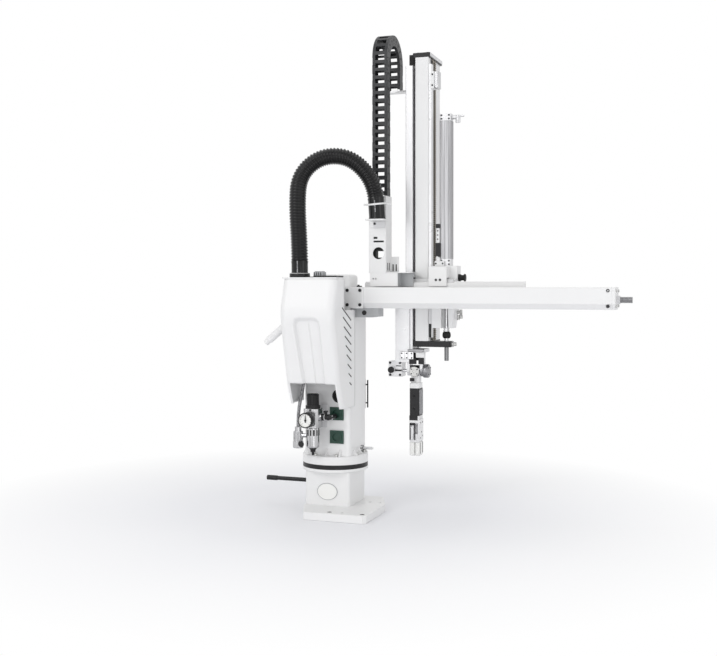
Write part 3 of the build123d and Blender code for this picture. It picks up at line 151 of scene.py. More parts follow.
PALE_EDGE = (0.85, 0.85, 0.85)
DARK_EDGE = (0.12, 0.12, 0.12)
LOOKS = {
    "white_paint": finish(
        "white_powder_coat", (0.81, 0.81, 0.81), 0.36, spread=0.015, patch=5, grain=1300,
        relief=0.06, edge=0.0012, wear=0.25, worn=(0.74, 0.74, 0.73)),
    "grey_paint": finish("grey_paint", (0.42, 0.43, 0.44), 0.42, wear=0.3),
    "pale_grey": finish("pale_grey_paint", (0.68, 0.68, 0.69), 0.4, spread=0.03, wear=0.3),
    "black_paint": finish(
        "black_satin_paint", (0.014, 0.014, 0.015), 0.38, spread=0.15, relief=0.08,
        wear=0.35, worn=DARK_EDGE, gloss=0.3),
    "anodised_aluminium": finish(
        "anodised_aluminium", (0.62, 0.62, 0.63), 0.34, metal=0.75, spread=0.05, patch=30,
        stretch=(6, 6, 0.5), grain=700, relief=0.07, wear=0.4, worn=PALE_EDGE),
    "dark_aluminium": finish(
        "dark_aluminium", (0.27, 0.27, 0.28), 0.3, metal=0.85, spread=0.1, patch=40,
        stretch=(6, 1, 6), relief=0.1, wear=0.4),
    "silver": finish(
        "silver_coat", (0.74, 0.74, 0.75), 0.3, metal=0.35, patch=40, wear=0.4,
        worn=(0.5, 0.5, 0.5)),
    "bowl_metal": finish(
        "bowl_metal", (0.5, 0.5, 0.51), 0.2, metal=0.95, spread=0.35, patch=28,
        stretch=(6, 6, 0.3), relief=0.04, wear=0.4, worn=(0.9, 0.9, 0.9)),
    "barrel_metal": finish(
        "barrel_metal", (0.36, 0.36, 0.37), 0.3, metal=0.8, spread=0.3, patch=22,
        stretch=(6, 6, 0.15), relief=0.04, wear=0.4, worn=PALE_EDGE),
    "brushed_steel": finish(
        "brushed_steel", (0.55, 0.55, 0.56), 0.22, metal=1.0, patch=20, relief=0.03,
        wear=0.4, worn=PALE_EDGE),
    "rail_steel": finish(
        "rail_steel", (0.2, 0.2, 0.205), 0.32, metal=0.8, spread=0.08, patch=20,
        stretch=(4, 4, 0.4), relief=0.04, wear=0.4),
    "zinc": finish(
        "zinc_screw", (0.5, 0.5, 0.49), 0.35, metal=0.9, spread=0.12, patch=150, relief=0.1,
        edge=0.0003),
    "black_screw": finish(
        "black_oxide_screw", (0.035, 0.035, 0.038), 0.36, metal=0.6, spread=0.2, patch=150,
        edge=0.0003, wear=0.4, worn=(0.2, 0.2, 0.2)),
    "black_plastic": finish(
        "black_plastic", (0.014, 0.014, 0.015), 0.4, spread=0.12, grain=1500, relief=0.2,
        wear=0.25, worn=DARK_EDGE, gloss=0.3),
    # Painted shade: a deep black for the dark insides of holes, slots and hollows, which are drawn as
    # discs and strips, not cut
    "bore_black": finish("painted_hole_shade", (0.008, 0.008, 0.008), 0.6),
    "side_mesh": finish(
        "side_mesh", (0.24, 0.24, 0.25), 0.5, spread=0.5, patch=260, grain=700, relief=0.5),
    "chain_plastic": finish(
        "chain_plastic", (0.03, 0.031, 0.033), 0.42, spread=0.15, grain=1200, relief=0.15,
        edge=0.0009, wear=0.4, worn=(0.22, 0.22, 0.23), gloss=0.35),
    "hose_plastic": finish(
        "hose_plastic", (0.003, 0.003, 0.0035), 0.1, spread=0.2, grain=600, relief=0.02,
        edge=0.0003, gloss=0.36),
    "tube_plastic": finish(
        "grey_tube", (0.3, 0.3, 0.31), 0.3, spread=0.75, patch=330, grain=1500, relief=0.25),
    "green_plastic": finish(
        "dark_green_plastic", (0.008, 0.05, 0.032), 0.42, spread=0.1, relief=0.12, wear=0.3,
        worn=(0.1, 0.2, 0.16)),
    "rubber": finish("rubber", (0.012, 0.012, 0.012), 0.7, spread=0.2, relief=0.3, gloss=0.3),
    "belt_rubber": finish(
        "belt_rubber", (0.27, 0.24, 0.2), 0.65, spread=0.4, patch=120, grain=500,
        stretch=(1, 1, 5), relief=0.4),
    "dial_plastic": finish("dial_white", (0.86, 0.86, 0.84), 0.3, spread=0.01),
    "needle_plastic": finish("needle_black", (0.02, 0.02, 0.02), 0.4),
    "clear_pad": finish(
        "pale_polyurethane", (0.84, 0.84, 0.82), 0.25, spread=0.02, coat=0.3),
}
# Nodes whose look differs from their slot's usual one
LOOK_OF_NODE = {
    "flip_bracket": "silver", "flip_cylinder": "silver", "swing_sensor": "silver", "arm_rails": "silver",
    "kick_rail": "white_paint", "cover_lid": "white_paint", "beam_end_cap": "white_paint",
    "service_unit_body": "bowl_metal", "filter_bowl": "bowl_metal", "shutoff_valve": "bowl_metal",
    "service_unit_bracket": "pale_grey", "carriage_shoes": "pale_grey", "lift_barrel": "barrel_metal",
}
node_slots = {part["node"]: part["material_slot"] for part in frame["record"]["subparts"]}
for name, node in NODES.items():
    node.data.materials.clear()
    node.data.materials.append(LOOKS[LOOK_OF_NODE.get(name, node_slots[name])])


# Mesh helpers. Places are in millimetres, in the frame of the CAD.

SHARP_ANGLE = math.radians(35)


def new_piece(name, mesh, look, body=None, bevel=0.0):
    """An object with a finish that rides on a body."""
    obj = bpy.data.objects.new(name, mesh)
    bpy.context.scene.collection.objects.link(obj)
    mesh.materials.append(LOOKS[look])
    if bevel:
        rounded = obj.modifiers.new("rounded", "BEVEL")
        rounded.width = bevel * MM
        rounded.segments = 2
        rounded.limit_method = "ANGLE"
    if body:
        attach(obj, body)
    return obj


def to_mesh(name, shape):
    mesh = bpy.data.meshes.new(name)
    shape.normal_update()
    shape.to_mesh(mesh)
    shape.free()
    return mesh


def place_mm(x, y, z):
    return Matrix.Translation(Vector((x, y, z)) * MM)


def add_bar(shape, matrix, size):
    """Adds a box of a size, with its middle at the place that a matrix gives."""
    scale = Matrix.Diagonal((*(length * MM for length in size), 1))
    bmesh.ops.create_cube(shape, size=1, matrix=matrix @ scale)


def add_box(shape, lo, hi):
    """Adds a box between two corners."""
    middle = [(a + b) / 2 * MM for a, b in zip(lo, hi)]
    add_bar(shape, Matrix.Translation(middle), [b - a for a, b in zip(lo, hi)])


def move_new(shape, before, matrix):
    """Moves what was added to a shape after the set of its earlier vertices was taken."""
    fresh = [v for v in shape.verts if v not in before]
    bmesh.ops.transform(shape, matrix=matrix, verts=fresh)


def aim(direction):
    """The rotation that turns +Z to a direction."""
    return Vector(direction).to_track_quat("Z", "Y").to_matrix().to_4x4()


def add_lathe(shape, base, direction, profile, steps):
    """Turns a profile of (radius, height) points about a line through base."""
    matrix = Matrix.Translation(Vector(base) * MM) @ aim(direction)
    rings = []
    for radius, height in profile:
        if radius < 1e-6:
            rings.append([shape.verts.new(matrix @ Vector((0, 0, height * MM)))])
            continue
        ring = []
        for i in range(steps):
            a = 2 * math.pi * i / steps
            spoke = Vector((radius * math.cos(a), radius * math.sin(a), height)) * MM
            ring.append(shape.verts.new(matrix @ spoke))
        rings.append(ring)
    for low, high in zip(rings, rings[1:]):
        for i in range(steps):
            j = (i + 1) % steps
            corners = [low[i % len(low)], low[j % len(low)], high[j % len(high)], high[i % len(high)]]
            unique = list(dict.fromkeys(corners))
            if len(unique) > 2:
                shape.faces.new(unique)


def smooth_by_angle(mesh):
    """Smooth faces, with sharp edges where faces meet at a large angle."""
    shape = bmesh.new()
    shape.from_mesh(mesh)
    for face in shape.faces:
        face.smooth = True
    for edge in shape.edges:
        edge.smooth = len(edge.link_faces) == 2 and edge.calc_face_angle(0) < SHARP_ANGLE
    shape.to_mesh(mesh)
    shape.free()


def piece(name, look, body, boxes, turned=(), bevel=0.0, steps=28):
    """One piece from boxes (two corners each) and turned shapes (base, direction, profile)."""
    shape = bmesh.new()
    for lo, hi in boxes:
        add_box(shape, lo, hi)
    for base, direction, profile in turned:
        add_lathe(shape, base, direction, profile, steps)
    mesh = to_mesh(name, shape)
    smooth_by_angle(mesh)
    return new_piece(name, mesh, look, body, bevel)


def turned_piece(name, look, body, turned, steps=28):
    """A piece of turned shapes alone, which have their roundings in their profiles."""
    return piece(name, look, body, (), turned, steps=steps)


def disc(r, h):
    """The profile of a plain disc."""
    return [(r, 0), (r, h), (0, h)]


def cap_screw(r, h):
    """The profile of a socket cap screw head with its hole."""
    return [(r, 0), (r, h * 0.85), (r * 0.88, h), (r * 0.52, h), (r * 0.52, h * 0.4), (0, h * 0.4)]


def screws(name, body, places, direction, r, h, look="black_screw", steps=18):
    """A set of socket screws on one face, with heads of radius r and height h."""
    turned_piece(name, look, body, [(place, direction, cap_screw(r, h)) for place in places], steps)


# Cords: their smooth line is a NURBS spline through the route's control points.

def route_line(name, points, steps):
    """The points of the smooth line of a route given in millimetres."""
    curve = bpy.data.curves.new(name, "CURVE")
    curve.dimensions = "3D"
    curve.resolution_u = steps
    spline = curve.splines.new("NURBS")
    spline.points.add(len(points) - 1)
    for point, place in zip(spline.points, points):
        point.co = (*[v * MM for v in place], 1)
    spline.order_u = 3
    spline.use_endpoint_u = True
    holder = bpy.data.objects.new(name, curve)
    bpy.context.scene.collection.objects.link(holder)
    bpy.context.view_layer.update()
    evaluated = holder.evaluated_get(bpy.context.evaluated_depsgraph_get())
    mesh = bpy.data.meshes.new_from_object(evaluated)
    line = [v.co.copy() for v in mesh.vertices]
    bpy.data.objects.remove(holder)
    bpy.data.meshes.remove(mesh)
    return line


def along(line, distance):
    """The place and direction on a line at a distance from its start."""
    for a, b in zip(line, line[1:]):
        length = (b - a).length
        if distance <= length:
            return a.lerp(b, distance / length), (b - a).normalized()
        distance -= length
    return line[-1].copy(), (line[-1] - line[-2]).normalized()


def line_length(line):
    return sum((b - a).length for a, b in zip(line, line[1:]))


def swept(name, line, stations, sides=36):
    """A tube whose radius is given at stations (distance, radius) along a line, in metres."""
    shape = bmesh.new()
    place, heading = along(line, 0)
    across = heading.cross(Vector((0.3, 1, 0.1))).normalized()
    rings = []
    for distance, radius in stations:
        place, heading = along(line, distance)
        across = (across - heading * across.dot(heading)).normalized()
        other = heading.cross(across)
        ring = []
        for i in range(sides):
            a = 2 * math.pi * i / sides
            ring.append(shape.verts.new(place + (across * math.cos(a) + other * math.sin(a)) * radius))
        rings.append(ring)
    for low, high in zip(rings, rings[1:]):
        for i in range(sides):
            shape.faces.new((low[i], low[(i + 1) % sides], high[(i + 1) % sides], high[i])).smooth = True
    shape.faces.new(list(reversed(rings[0])))
    shape.faces.new(rings[-1])
    return to_mesh(name, shape)


HOSE_POINTS = [
    (-46, -160, 673), (-46, -160, 750), (-58, -152, 882), (-58, -134, 962), (-4, -111, 1015),
    (72, -87, 1015), (127, -65, 962), (144, -47, 895), (144, -47, 838),
]
HOSE_R, SHOULDER_R, VALLEY_R, END_R = 24.0, 23.2, 21.4, 22.0
RIB_PITCH = 8.2
# The share of a pitch and the radius there
RIB_SECTION = [
    (0.0, VALLEY_R), (0.16, VALLEY_R), (0.26, SHOULDER_R), (0.40, HOSE_R),
    (0.64, HOSE_R), (0.78, SHOULDER_R), (0.88, VALLEY_R),
]
CUFF_LOW, CUFF_HIGH = 46.0, 62.0
CUFF_RING, CUFF_INNER_R, CUFF_R, CUFF_RING_R = 5.0, 22.2, 23.2, 23.9

hose_line = route_line("hose_route", HOSE_POINTS, 24)
hose_length = line_length(hose_line)
stations = [(0.0, END_R * MM), (CUFF_LOW * MM, END_R * MM)]
rib_start = CUFF_LOW
while rib_start + RIB_PITCH < hose_length / MM - CUFF_HIGH:
    stations += [((rib_start + share * RIB_PITCH) * MM, radius * MM) for share, radius in RIB_SECTION]
    rib_start += RIB_PITCH
stations += [(rib_start * MM, END_R * MM), (hose_length, END_R * MM)]
hose = new_piece("ribbed_hose", swept("ribbed_hose", hose_line, stations), "hose_plastic")
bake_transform(hose)
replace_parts(hose, "corrugated_hose")


def cuff(name, body, start, end):
    """A smooth sleeve over an end of the hose, with a ring at each end of the sleeve."""
    first, last = sorted((start, end))
    ring = CUFF_RING * MM
    profile = [
        (first, CUFF_INNER_R), (first, CUFF_RING_R), (first + ring, CUFF_RING_R), (first + ring, CUFF_R),
        (last - ring, CUFF_R), (last - ring, CUFF_RING_R), (last, CUFF_RING_R), (last, CUFF_INNER_R),
    ]
    mesh = swept(name, hose_line, [(d, r * MM) for d, r in profile])
    smooth_by_angle(mesh)
    return new_piece(name, mesh, "hose_plastic", body)


low_cuff = cuff("hose_cuff_low", "swing_column", 0.0, CUFF_LOW * MM)
high_cuff = cuff("hose_cuff_high", "carriage", hose_length - CUFF_HIGH * MM, hose_length)
# Painted highlight: pale strips down the fronts of the cuffs stand for the glint of a lamp
HIGHLIGHT_STEPS = 12
HIGHLIGHT_SIDE = Vector((0.1, -1, 0))


def cuff_highlight(name, body, start, end):
    """A pale strip down the front of a sleeve, which paints a lamp's highlight on it."""
    shape = bmesh.new()
    rows = []
    for i in range(HIGHLIGHT_STEPS + 1):
        place, heading = along(hose_line, start + (end - start) * i / HIGHLIGHT_STEPS)
        front = (HIGHLIGHT_SIDE - heading * heading.dot(HIGHLIGHT_SIDE)).normalized()
        side = heading.cross(front).normalized()
        rows.append([
            shape.verts.new(place + front * (CUFF_R + 0.1 + out) * MM + side * w * MM)
            for out, w in ((0, -1.3), (0.6, -1.0), (0.6, 1.0), (0, 1.3))])
    for low, high in zip(rows, rows[1:]):
        for i in range(3):
            shape.faces.new((low[i], low[i + 1], high[i + 1], high[i]))
    bmesh.ops.recalc_face_normals(shape, faces=shape.faces[:])
    return new_piece(name, to_mesh(name, shape), "tube_plastic", body)


low_highlight = cuff_highlight("cuff_seam_low", "swing_column", 0.014, (CUFF_LOW - 1) * MM)
high_highlight = cuff_highlight(
    "cuff_seam_high", "carriage", hose_length - (CUFF_HIGH - 8) * MM, hose_length - 20 * MM)

TUBE_POINTS = [
    (-70, -115, 250), (-70, -115, 275), (-66, -115, 315), (-54, -115, 362), (-50, -115, 404),
    (-50, -115, 430),
]
TUBE_R, BRAID_LOW_R, BRAID_PITCH = 5.0, 4.55, 2.2
tube_line = route_line("tube_route", TUBE_POINTS, 16)
tube_length = line_length(tube_line)
braids = int(tube_length / (BRAID_PITCH * MM))
stations = []
for i in range(braids + 1):
    at = tube_length * i / braids
    stations += [(at, BRAID_LOW_R * MM), (min(tube_length, at + BRAID_PITCH / 2 * MM), TUBE_R * MM)]
braid = swept("braided_air_tube", tube_line, stations[:-1], 20)
tube = new_piece("braided_air_tube", braid, "tube_plastic", "swing_column")
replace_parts(tube, "air_tube")

# Front cover: a folded sheet with soft corners, a long recess and louvres

COVER_HALF = 80.0
COVER_BACK = -54.0
COVER_CORNER = 20.0
COVER_FOOT, COVER_TOP = 292.0, 669.0
# Height and Y of the ends and folds of the front, seen from the side
COVER_PROFILE = [(COVER_FOOT, -143.0), (370.0, -184.0), (575.0, -236.0), (COVER_TOP, -205.0)]
BEAM_NOTCH_Y, BEAM_NOTCH_Z = -143.0, 583.0
FRONT_EDGE_Z, RIGHT_WING_Z, LEFT_WING_Z = 380.0, 307.0, 318.0
COVER_ROWS, FRONT_STEPS, SIDE_STEPS = 96, 96, 8
FOLD_REACH = 26.0
RECESS_HALF, RECESS_TOP, RECESS_DEEP = 37.0, 559.0, 13.0
RECESS_NARROWS, RECESS_CORNER, CREASE_DEEP = 12.0, 16.0, 3.4


def profile_y(z):
    """Y of the straight-sided profile at a height."""
    spans = list(zip(COVER_PROFILE, COVER_PROFILE[1:]))
    (z0, y0), (z1, y1) = next((s for s in spans if z <= s[1][0]), spans[-1])
    return y0 + (y1 - y0) * (z - z0) / (z1 - z0)


def cover_front_y(z):
    """Y of the front face, with its two folds rounded by a mean over the heights near by."""
    reach = min(FOLD_REACH, COVER_TOP - z + 2)
    return sum(profile_y(z + reach * i / 6) for i in range(-6, 7)) / 13


def soft_step(value, width):
    t = min(1.0, max(0.0, value / width + 0.5))
    return t * t * (3 - 2 * t)


def recess_depth(x, z):
    """Depth of the recess, which narrows towards the bottom and has a crease down its middle."""
    down = max(0.0, RECESS_TOP - z) / (RECESS_TOP - FRONT_EDGE_Z)
    half = RECESS_HALF - RECESS_NARROWS * down / 2
    off = abs(x - RECESS_NARROWS * down / 2)
    inside = soft_step(half - off, 7) * soft_step(RECESS_TOP - z, 9)
    corner = max(0.0, off - half + RECESS_CORNER) ** 2 + max(0.0, z - RECESS_TOP + RECESS_CORNER) ** 2
    if z > RECESS_TOP - RECESS_CORNER and off > half - RECESS_CORNER:
        inside *= soft_step(RECESS_CORNER - math.sqrt(corner), 8)
    crease = max(0.0, 1 - abs(x - 3 - 5 * down) / 2.4) * soft_step(RECESS_TOP - 14 - z, 4)
    return RECESS_DEEP * inside + CREASE_DEEP * crease * inside


def cover_row(z):
    """The plan outline of the cover at a height, from its right back edge round to its left one."""
    front = cover_front_y(z)
    side_end = front + COVER_CORNER
    steps = range(SIDE_STEPS + 1)
    flank = [COVER_BACK + (BEAM_NOTCH_Y - COVER_BACK) * i / SIDE_STEPS for i in steps]
    flank += [BEAM_NOTCH_Y + (side_end - BEAM_NOTCH_Y) * i / SIDE_STEPS for i in steps[1:]]
    row = [(COVER_HALF, max(y, side_end)) for y in flank]
    reach = COVER_HALF - COVER_CORNER
    for i in steps[1:-1]:
        a = math.pi / 2 * i / SIDE_STEPS
        row.append((reach + COVER_CORNER * math.cos(a), side_end - COVER_CORNER * math.sin(a)))
    middle = [reach - 2 * reach * i / FRONT_STEPS for i in range(FRONT_STEPS + 1)]
    corner = [(-x, y) for x, y in reversed(row)]
    return row + [(x, front + recess_depth(x, z)) for x in middle] + corner


def cover_mesh():
    """The sheet of the cover, cut to its lower edges and to the notch for the beam."""
    heights = [COVER_FOOT + (COVER_TOP - COVER_FOOT) * i / (COVER_ROWS - 1) for i in range(COVER_ROWS)]
    shape = bmesh.new()
    grid = []
    for z in heights:
        grid.append([shape.verts.new(Vector((x, y, z)) * MM) for x, y in cover_row(z)])
    for i in range(COVER_ROWS - 1):
        z = (heights[i] + heights[i + 1]) / 2
        for j in range(len(grid[0]) - 1):
            corners = (grid[i][j], grid[i][j + 1], grid[i + 1][j + 1], grid[i + 1][j])
            middle = sum((v.co for v in corners), Vector()) / 4 / MM
            on_front = abs(middle.x) < COVER_HALF - COVER_CORNER + 6
            in_notch = middle.x > COVER_HALF - 1 and middle.y > BEAM_NOTCH_Y and z > BEAM_NOTCH_Z
            low = RIGHT_WING_Z if middle.x > 0 else LEFT_WING_Z
            if in_notch or z < low or (on_front and z < FRONT_EDGE_Z):
                continue
            shape.faces.new(corners).smooth = True
    bmesh.ops.remove_doubles(shape, verts=shape.verts[:], dist=0.00005)
    bmesh.ops.delete(shape, geom=[v for v in shape.verts if not v.link_faces], context="VERTS")
    bmesh.ops.recalc_face_normals(shape, faces=shape.faces[:])
    return to_mesh("soft_cover", shape)


cover = new_piece("soft_cover", cover_mesh(), "white_paint", "swing_column")
thick = cover.modifiers.new("sheet", "SOLIDIFY")
thick.thickness = 3 * MM
thick.offset = -1
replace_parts(cover, "front_cover")

# Louvres: each is a black strip on the uncut wall, which paints the shade inside the slot, with a white
# hood above it
for side, label in ((-1, "left"), (1, "right")):
    slots, hoods = bmesh.new(), bmesh.new()
    for i in range(9):
        length = 82.0 - 8 * i
        centre = Vector((side * COVER_HALF, -84 - length / 2, 571 - 24.6 * i)) * MM
        turn = Matrix.Translation(centre) @ Matrix.Rotation(math.radians(-27), 4, "X")
        for target, height, out, rise in ((slots, 3.4, 0.35, 0.0), (hoods, 1.6, 1.6, 2.4)):
            add_bar(target, turn @ place_mm(0, 0, rise), (2 * out, length, height))
    slot_shade_mesh, hood_mesh = to_mesh("louvre_slot_shade", slots), to_mesh("louvre_hoods", hoods)
    new_piece("louvre_slot_shade_" + label, slot_shade_mesh, "bore_black", "swing_column")
    new_piece("louvre_hoods_" + label, hood_mesh, "white_paint", "swing_column", 0.5)


# Cable chain of separate links

FRONT_LINKS, REAR_LINKS = 18, 3
LINK = 400.0 / FRONT_LINKS
REAR_LINK = 70.0 / REAR_LINKS
CHAIN_MIDDLE_X = 135.5
CHAIN_FOOT_Z = 907
LOOP_Y, LOOP_Z, LOOP_R = 77.5, 1307.0, 77.5
LOOP_LINKS = 9
LINK_HALF, LINK_WALL, LINK_LIP = 22.5, 2.4, 14.0


def add_link(shape, matrix, wide, pitch=LINK):
    """One link from z 0 up, with its outer side at y 0; wide links hold narrow ones at their pins."""
    inset = 0.0 if wide else 0.6
    half = LINK_HALF - inset
    boxes = []
    for side in (-1, 1):
        x_out = side * half
        wall = sorted((x_out, x_out - side * LINK_WALL))
        lip = sorted((x_out, side * LINK_LIP))
        boxes.append(((wall[0], 0.4 + inset, -1.5), (wall[1], 30.6 - inset, pitch + 1.5)))
        boxes.append(((lip[0], 0.6, -0.5), (lip[1], 3.2, pitch + 0.5)))
        boxes.append(((lip[0], 27.8, -0.5), (lip[1], 30.4, pitch + 0.5)))
    bar_z = 0.28 * pitch
    boxes.append(((-half, 0.2, bar_z), (half, 3, bar_z + 9)))
    boxes.append(((-half, 28, bar_z), (half, 30.8, bar_z + 9)))
    before = set(shape.verts)
    for lo, hi in boxes:
        add_box(shape, lo, hi)
    move_new(shape, before, matrix)


def chain_piece(name, body, matrices, pitch=LINK):
    shape = bmesh.new()
    for i, matrix in matrices:
        add_link(shape, matrix, i % 2 == 0, pitch)
    return new_piece(name, to_mesh(name, shape), "chain_plastic", body)


def chain_pins(name, body, matrices):
    """The pin holes on both sides of the links, as black discs that paint the shade inside them."""
    shape = bmesh.new()
    for _, matrix in matrices:
        before = set(shape.verts)
        for side in (-1, 1):
            for y, r in ((15.5, 3.6), (6.5, 1.6), (24.5, 1.6)):
                add_lathe(shape, (side * (LINK_HALF - 0.2), y, 0), (side, 0, 0), disc(r, 0.5), 12)
        move_new(shape, before, matrix)
    return new_piece(name, to_mesh(name, shape), "bore_black", body)


def add_half_ring(shape, x0, x1, r0, r1, steps=40):
    """Half a ring about the middle of the loop, from its front side over the top to its rear side."""
    rows = []
    for i in range(steps + 1):
        a = math.pi * i / steps
        row = []
        for x, r in ((x0, r0), (x1, r0), (x1, r1), (x0, r1)):
            corner = Vector((CHAIN_MIDDLE_X + x, LOOP_Y - r * math.cos(a), LOOP_Z + r * math.sin(a)))
            row.append(shape.verts.new(corner * MM))
        rows.append(row)
    for low, high in zip(rows, rows[1:]):
        for i in range(4):
            shape.faces.new((low[i], low[(i + 1) % 4], high[(i + 1) % 4], high[i]))
    shape.faces.new(rows[0])
    shape.faces.new(rows[-1])


def chain_loop_piece(matrices):
    """The bend of the chain: two side bands with lips, and an outer and inner bar for each link."""
    shape = bmesh.new()
    wall_in = LINK_HALF - LINK_WALL
    bands = [
        (LINK_HALF, wall_in, 47, 77), (wall_in, LINK_LIP, 74.6, 76.8),
        (wall_in, LINK_LIP, 47.2, 49.4),
    ]
    for side in (-1, 1):
        for edge, inner, r0, r1 in bands:
            x0, x1 = sorted((side * edge, side * inner))
            add_half_ring(shape, x0, x1, r0, r1)
    bmesh.ops.recalc_face_normals(shape, faces=shape.faces[:])
    for _, matrix in matrices:
        before = set(shape.verts)
        add_box(shape, (-22, 0.2, LINK / 2 - 5), (22, 3, LINK / 2 + 5))
        add_box(shape, (-22, 28, LINK / 2 - 3.5), (22, 30.8, LINK / 2 + 3.5))
        move_new(shape, before, matrix)
    return new_piece("chain_links_loop", to_mesh("chain_links_loop", shape), "chain_plastic", "main_arm")


front_links = [(i, place_mm(CHAIN_MIDDLE_X, 0, CHAIN_FOOT_Z + LINK * i)) for i in range(FRONT_LINKS)]
loop_middle = place_mm(CHAIN_MIDDLE_X, LOOP_Y, LOOP_Z)
arc_links = []
for i in range(LOOP_LINKS):
    swing = Matrix.Rotation(-math.pi * (i + 0.5) / LOOP_LINKS, 4, "X")
    arc_links.append((i, loop_middle @ swing @ place_mm(0, -LOOP_R, -LINK / 2)))
half_turn = loop_middle @ Matrix.Rotation(-math.pi, 4, "X")
rear_links = [(i, half_turn @ place_mm(0, -LOOP_R, REAR_LINK * i)) for i in range(REAR_LINKS)]
front_run = chain_piece("chain_links_front", "carriage", front_links)
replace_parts(front_run, "chain_front_run")
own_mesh(front_run)
front_pins = chain_pins("chain_pins_front", "carriage", front_links)
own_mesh(front_pins)
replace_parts(chain_loop_piece(arc_links), "chain_loop")
chain_pins("chain_pins_loop", "main_arm", arc_links[1:])
rear_run = chain_piece("chain_links_rear", None, rear_links, REAR_LINK)
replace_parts(rear_run, "chain_rear_run")
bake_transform(rear_run)


# Pieces: directions, bodies, and the axes that several pieces share

FRONT, BACK, RIGHT, UP, DOWN = (0, -1, 0), (0, 1, 0), (1, 0, 0), (0, 0, 1), (0, 0, -1)
column, car, arm, sub, wrist = "swing_column", "carriage", "main_arm", "sub_arm", "wrist"
ADJUSTER = (804, -20, 612)
UNIT_X, UNIT_Y, OUTLET_Z = -24.5, -115, 280
VALVE_X, KNURL_R = -70, 12.6
GAUGE_X, GAUGE_Z = -30.5, 274
LIFT_X, LIFT_Y = 313, 80
FLIP_Y, FLIP_Z = 80, 402
GRIP_X, HUB_Z = 221.5, 401

# Column, pedestal and turntable

clamp_places = [(x, -67, z) for x in (61, 99) for z in (637, 596)]
screws("clamp_screws", column, clamp_places, FRONT, 4.6, 2.4)
piece("root_clamp", "white_paint", column, [((50, -67, 586), (107, -60, 646.5))], bevel=1.2)
root_bracket = piece("root_bracket", "grey_paint", column, [
    ((70, -44, 560), (128, 4, 586)),
    ((128, -44, 562), (146, 4, 586)),
    ((72, -66, 584), (105, 4, 586)),
], bevel=1.2)
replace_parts(root_bracket, "beam_bracket")
# Painted shade: a black disc for the dark inside of the bracket's bore
turned_piece("bracket_bore_shade", "bore_black", column, [((104, -43, 573), FRONT, disc(7, 1.4))])
screws("beam_face_screws", column, [(784.4, -57.5, z) for z in (636.8, 595.4)], FRONT, 4.6, 4)
turned_piece("adjuster_nut", "pale_grey", column, [
    (ADJUSTER, RIGHT, [(13, 0), (13, 7), (11, 8.6), (7, 8.6)])], 6)
thread_profile = [(8.6 if i % 2 else 7.5, 8 + 1.6 * i) for i in range(20)] + [(7.5, 40), (0, 40)]
thread = turned_piece("adjuster_thread", "dark_aluminium", column, [(ADJUSTER, RIGHT, thread_profile)])
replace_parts(thread, "stroke_adjuster")
end_places = [(804, y, z) for y in (-50, 10) for z in (596, 636)]
screws("beam_end_screws", column, end_places, RIGHT, 4, 3, "zinc")
flange_angles = [math.radians(22.5 + 45 * i) for i in range(8)]
flange_places = [(84 * math.cos(a), 84 * math.sin(a), 165) for a in flange_angles]
screws("flange_screws", column, flange_places, UP, 5, 6, "zinc")
plate = turned_piece("oval_plate", "dial_plastic", "pedestal", [
    ((0, -68, 0), FRONT, [(30, 0), (30, 1.6), (28.8, 2.2), (27.6, 1.3), (0, 1.3)])], 64)
rim = turned_piece("plate_rim", "grey_paint", "pedestal", [
    ((0, -68, 0), FRONT, [(30, 0), (31, 0.4), (31, 1.6), (30, 2.3), (29.2, 2.3), (28.8, 1.2)])], 64)
oval = Matrix.Translation((0.001, 0, 0.062)) @ Matrix.Diagonal((1, 1, 0.78, 1))
for part in (plate, rim):
    part.data.transform(oval)
bolt_places = [(38, -148), (134, -148), (-48, 85), (48, 85)]
# Painted shade: black discs for the dark insides of the bolt holes
turned_piece("bolt_hole_shade", "bore_black", "pedestal", [
    ((x, y, 20.4), UP, disc(6.9, 1)) for x, y in bolt_places])
turned_piece("cable_grommet", "rubber", column, [
    ((36, -66, 336), FRONT, [
        (15, 0), (15, 4.5), (18.5, 4.5), (19, 6), (17, 8), (13, 7.5), (11.5, 3), (0, 2)])], 40)
piece("rear_grip", "black_plastic", column, [
    ((68.5, 82, 288), (71.5, 88, 370)),
    ((63.5, 84, 300), (69, 87, 304)),
    ((63.5, 84, 354), (69, 87, 358)),
], bevel=0.8)
turned_piece("sensor_nut", "black_paint", column, [
    ((70, 27, 177), RIGHT, [(8.6, 0), (8.6, 5), (7.6, 6.4), (5, 6.4)])], 6)
piece("lid_strip", "black_paint", column, [
    ((12, -204, 673), (80, -150, 677)),
    ((-4, -200, 673), (12, -160, 675)),
], bevel=0.6)
piece("lid_socket", "grey_paint", column, [
    ((5, -186, 677), (33, -160, 688)),
    ((8, -184, 688), (30, -162, 690)),
], bevel=1)
piece("socket_ribs", "black_plastic", column, [
    ((x, -186.8, 678), (x + 2.2, -185.8, 687)) for x in (8, 14, 20, 26)], bevel=0.3)
turned_piece("hose_collar", "black_paint", column, [
    (HOSE_POINTS[0], UP, [(28.1, 0), (28.6, 1), (28.6, 10), (27, 12.6), (24.4, 12.6)])], 56)
piece("beam_sensor", "black_plastic", column, [
    ((79, -40, 646), (90, -22, 650)),
    ((81, -38, 650), (85, -28, 653)),
], bevel=1)
turned_piece("damper_collar", "dark_aluminium", column, [
    ((-135.5, -150, 503.5), (-0.766, 0, -0.643), [(9.4, 0), (9.6, 1), (9.6, 5), (9.4, 6)])])

# Air service unit

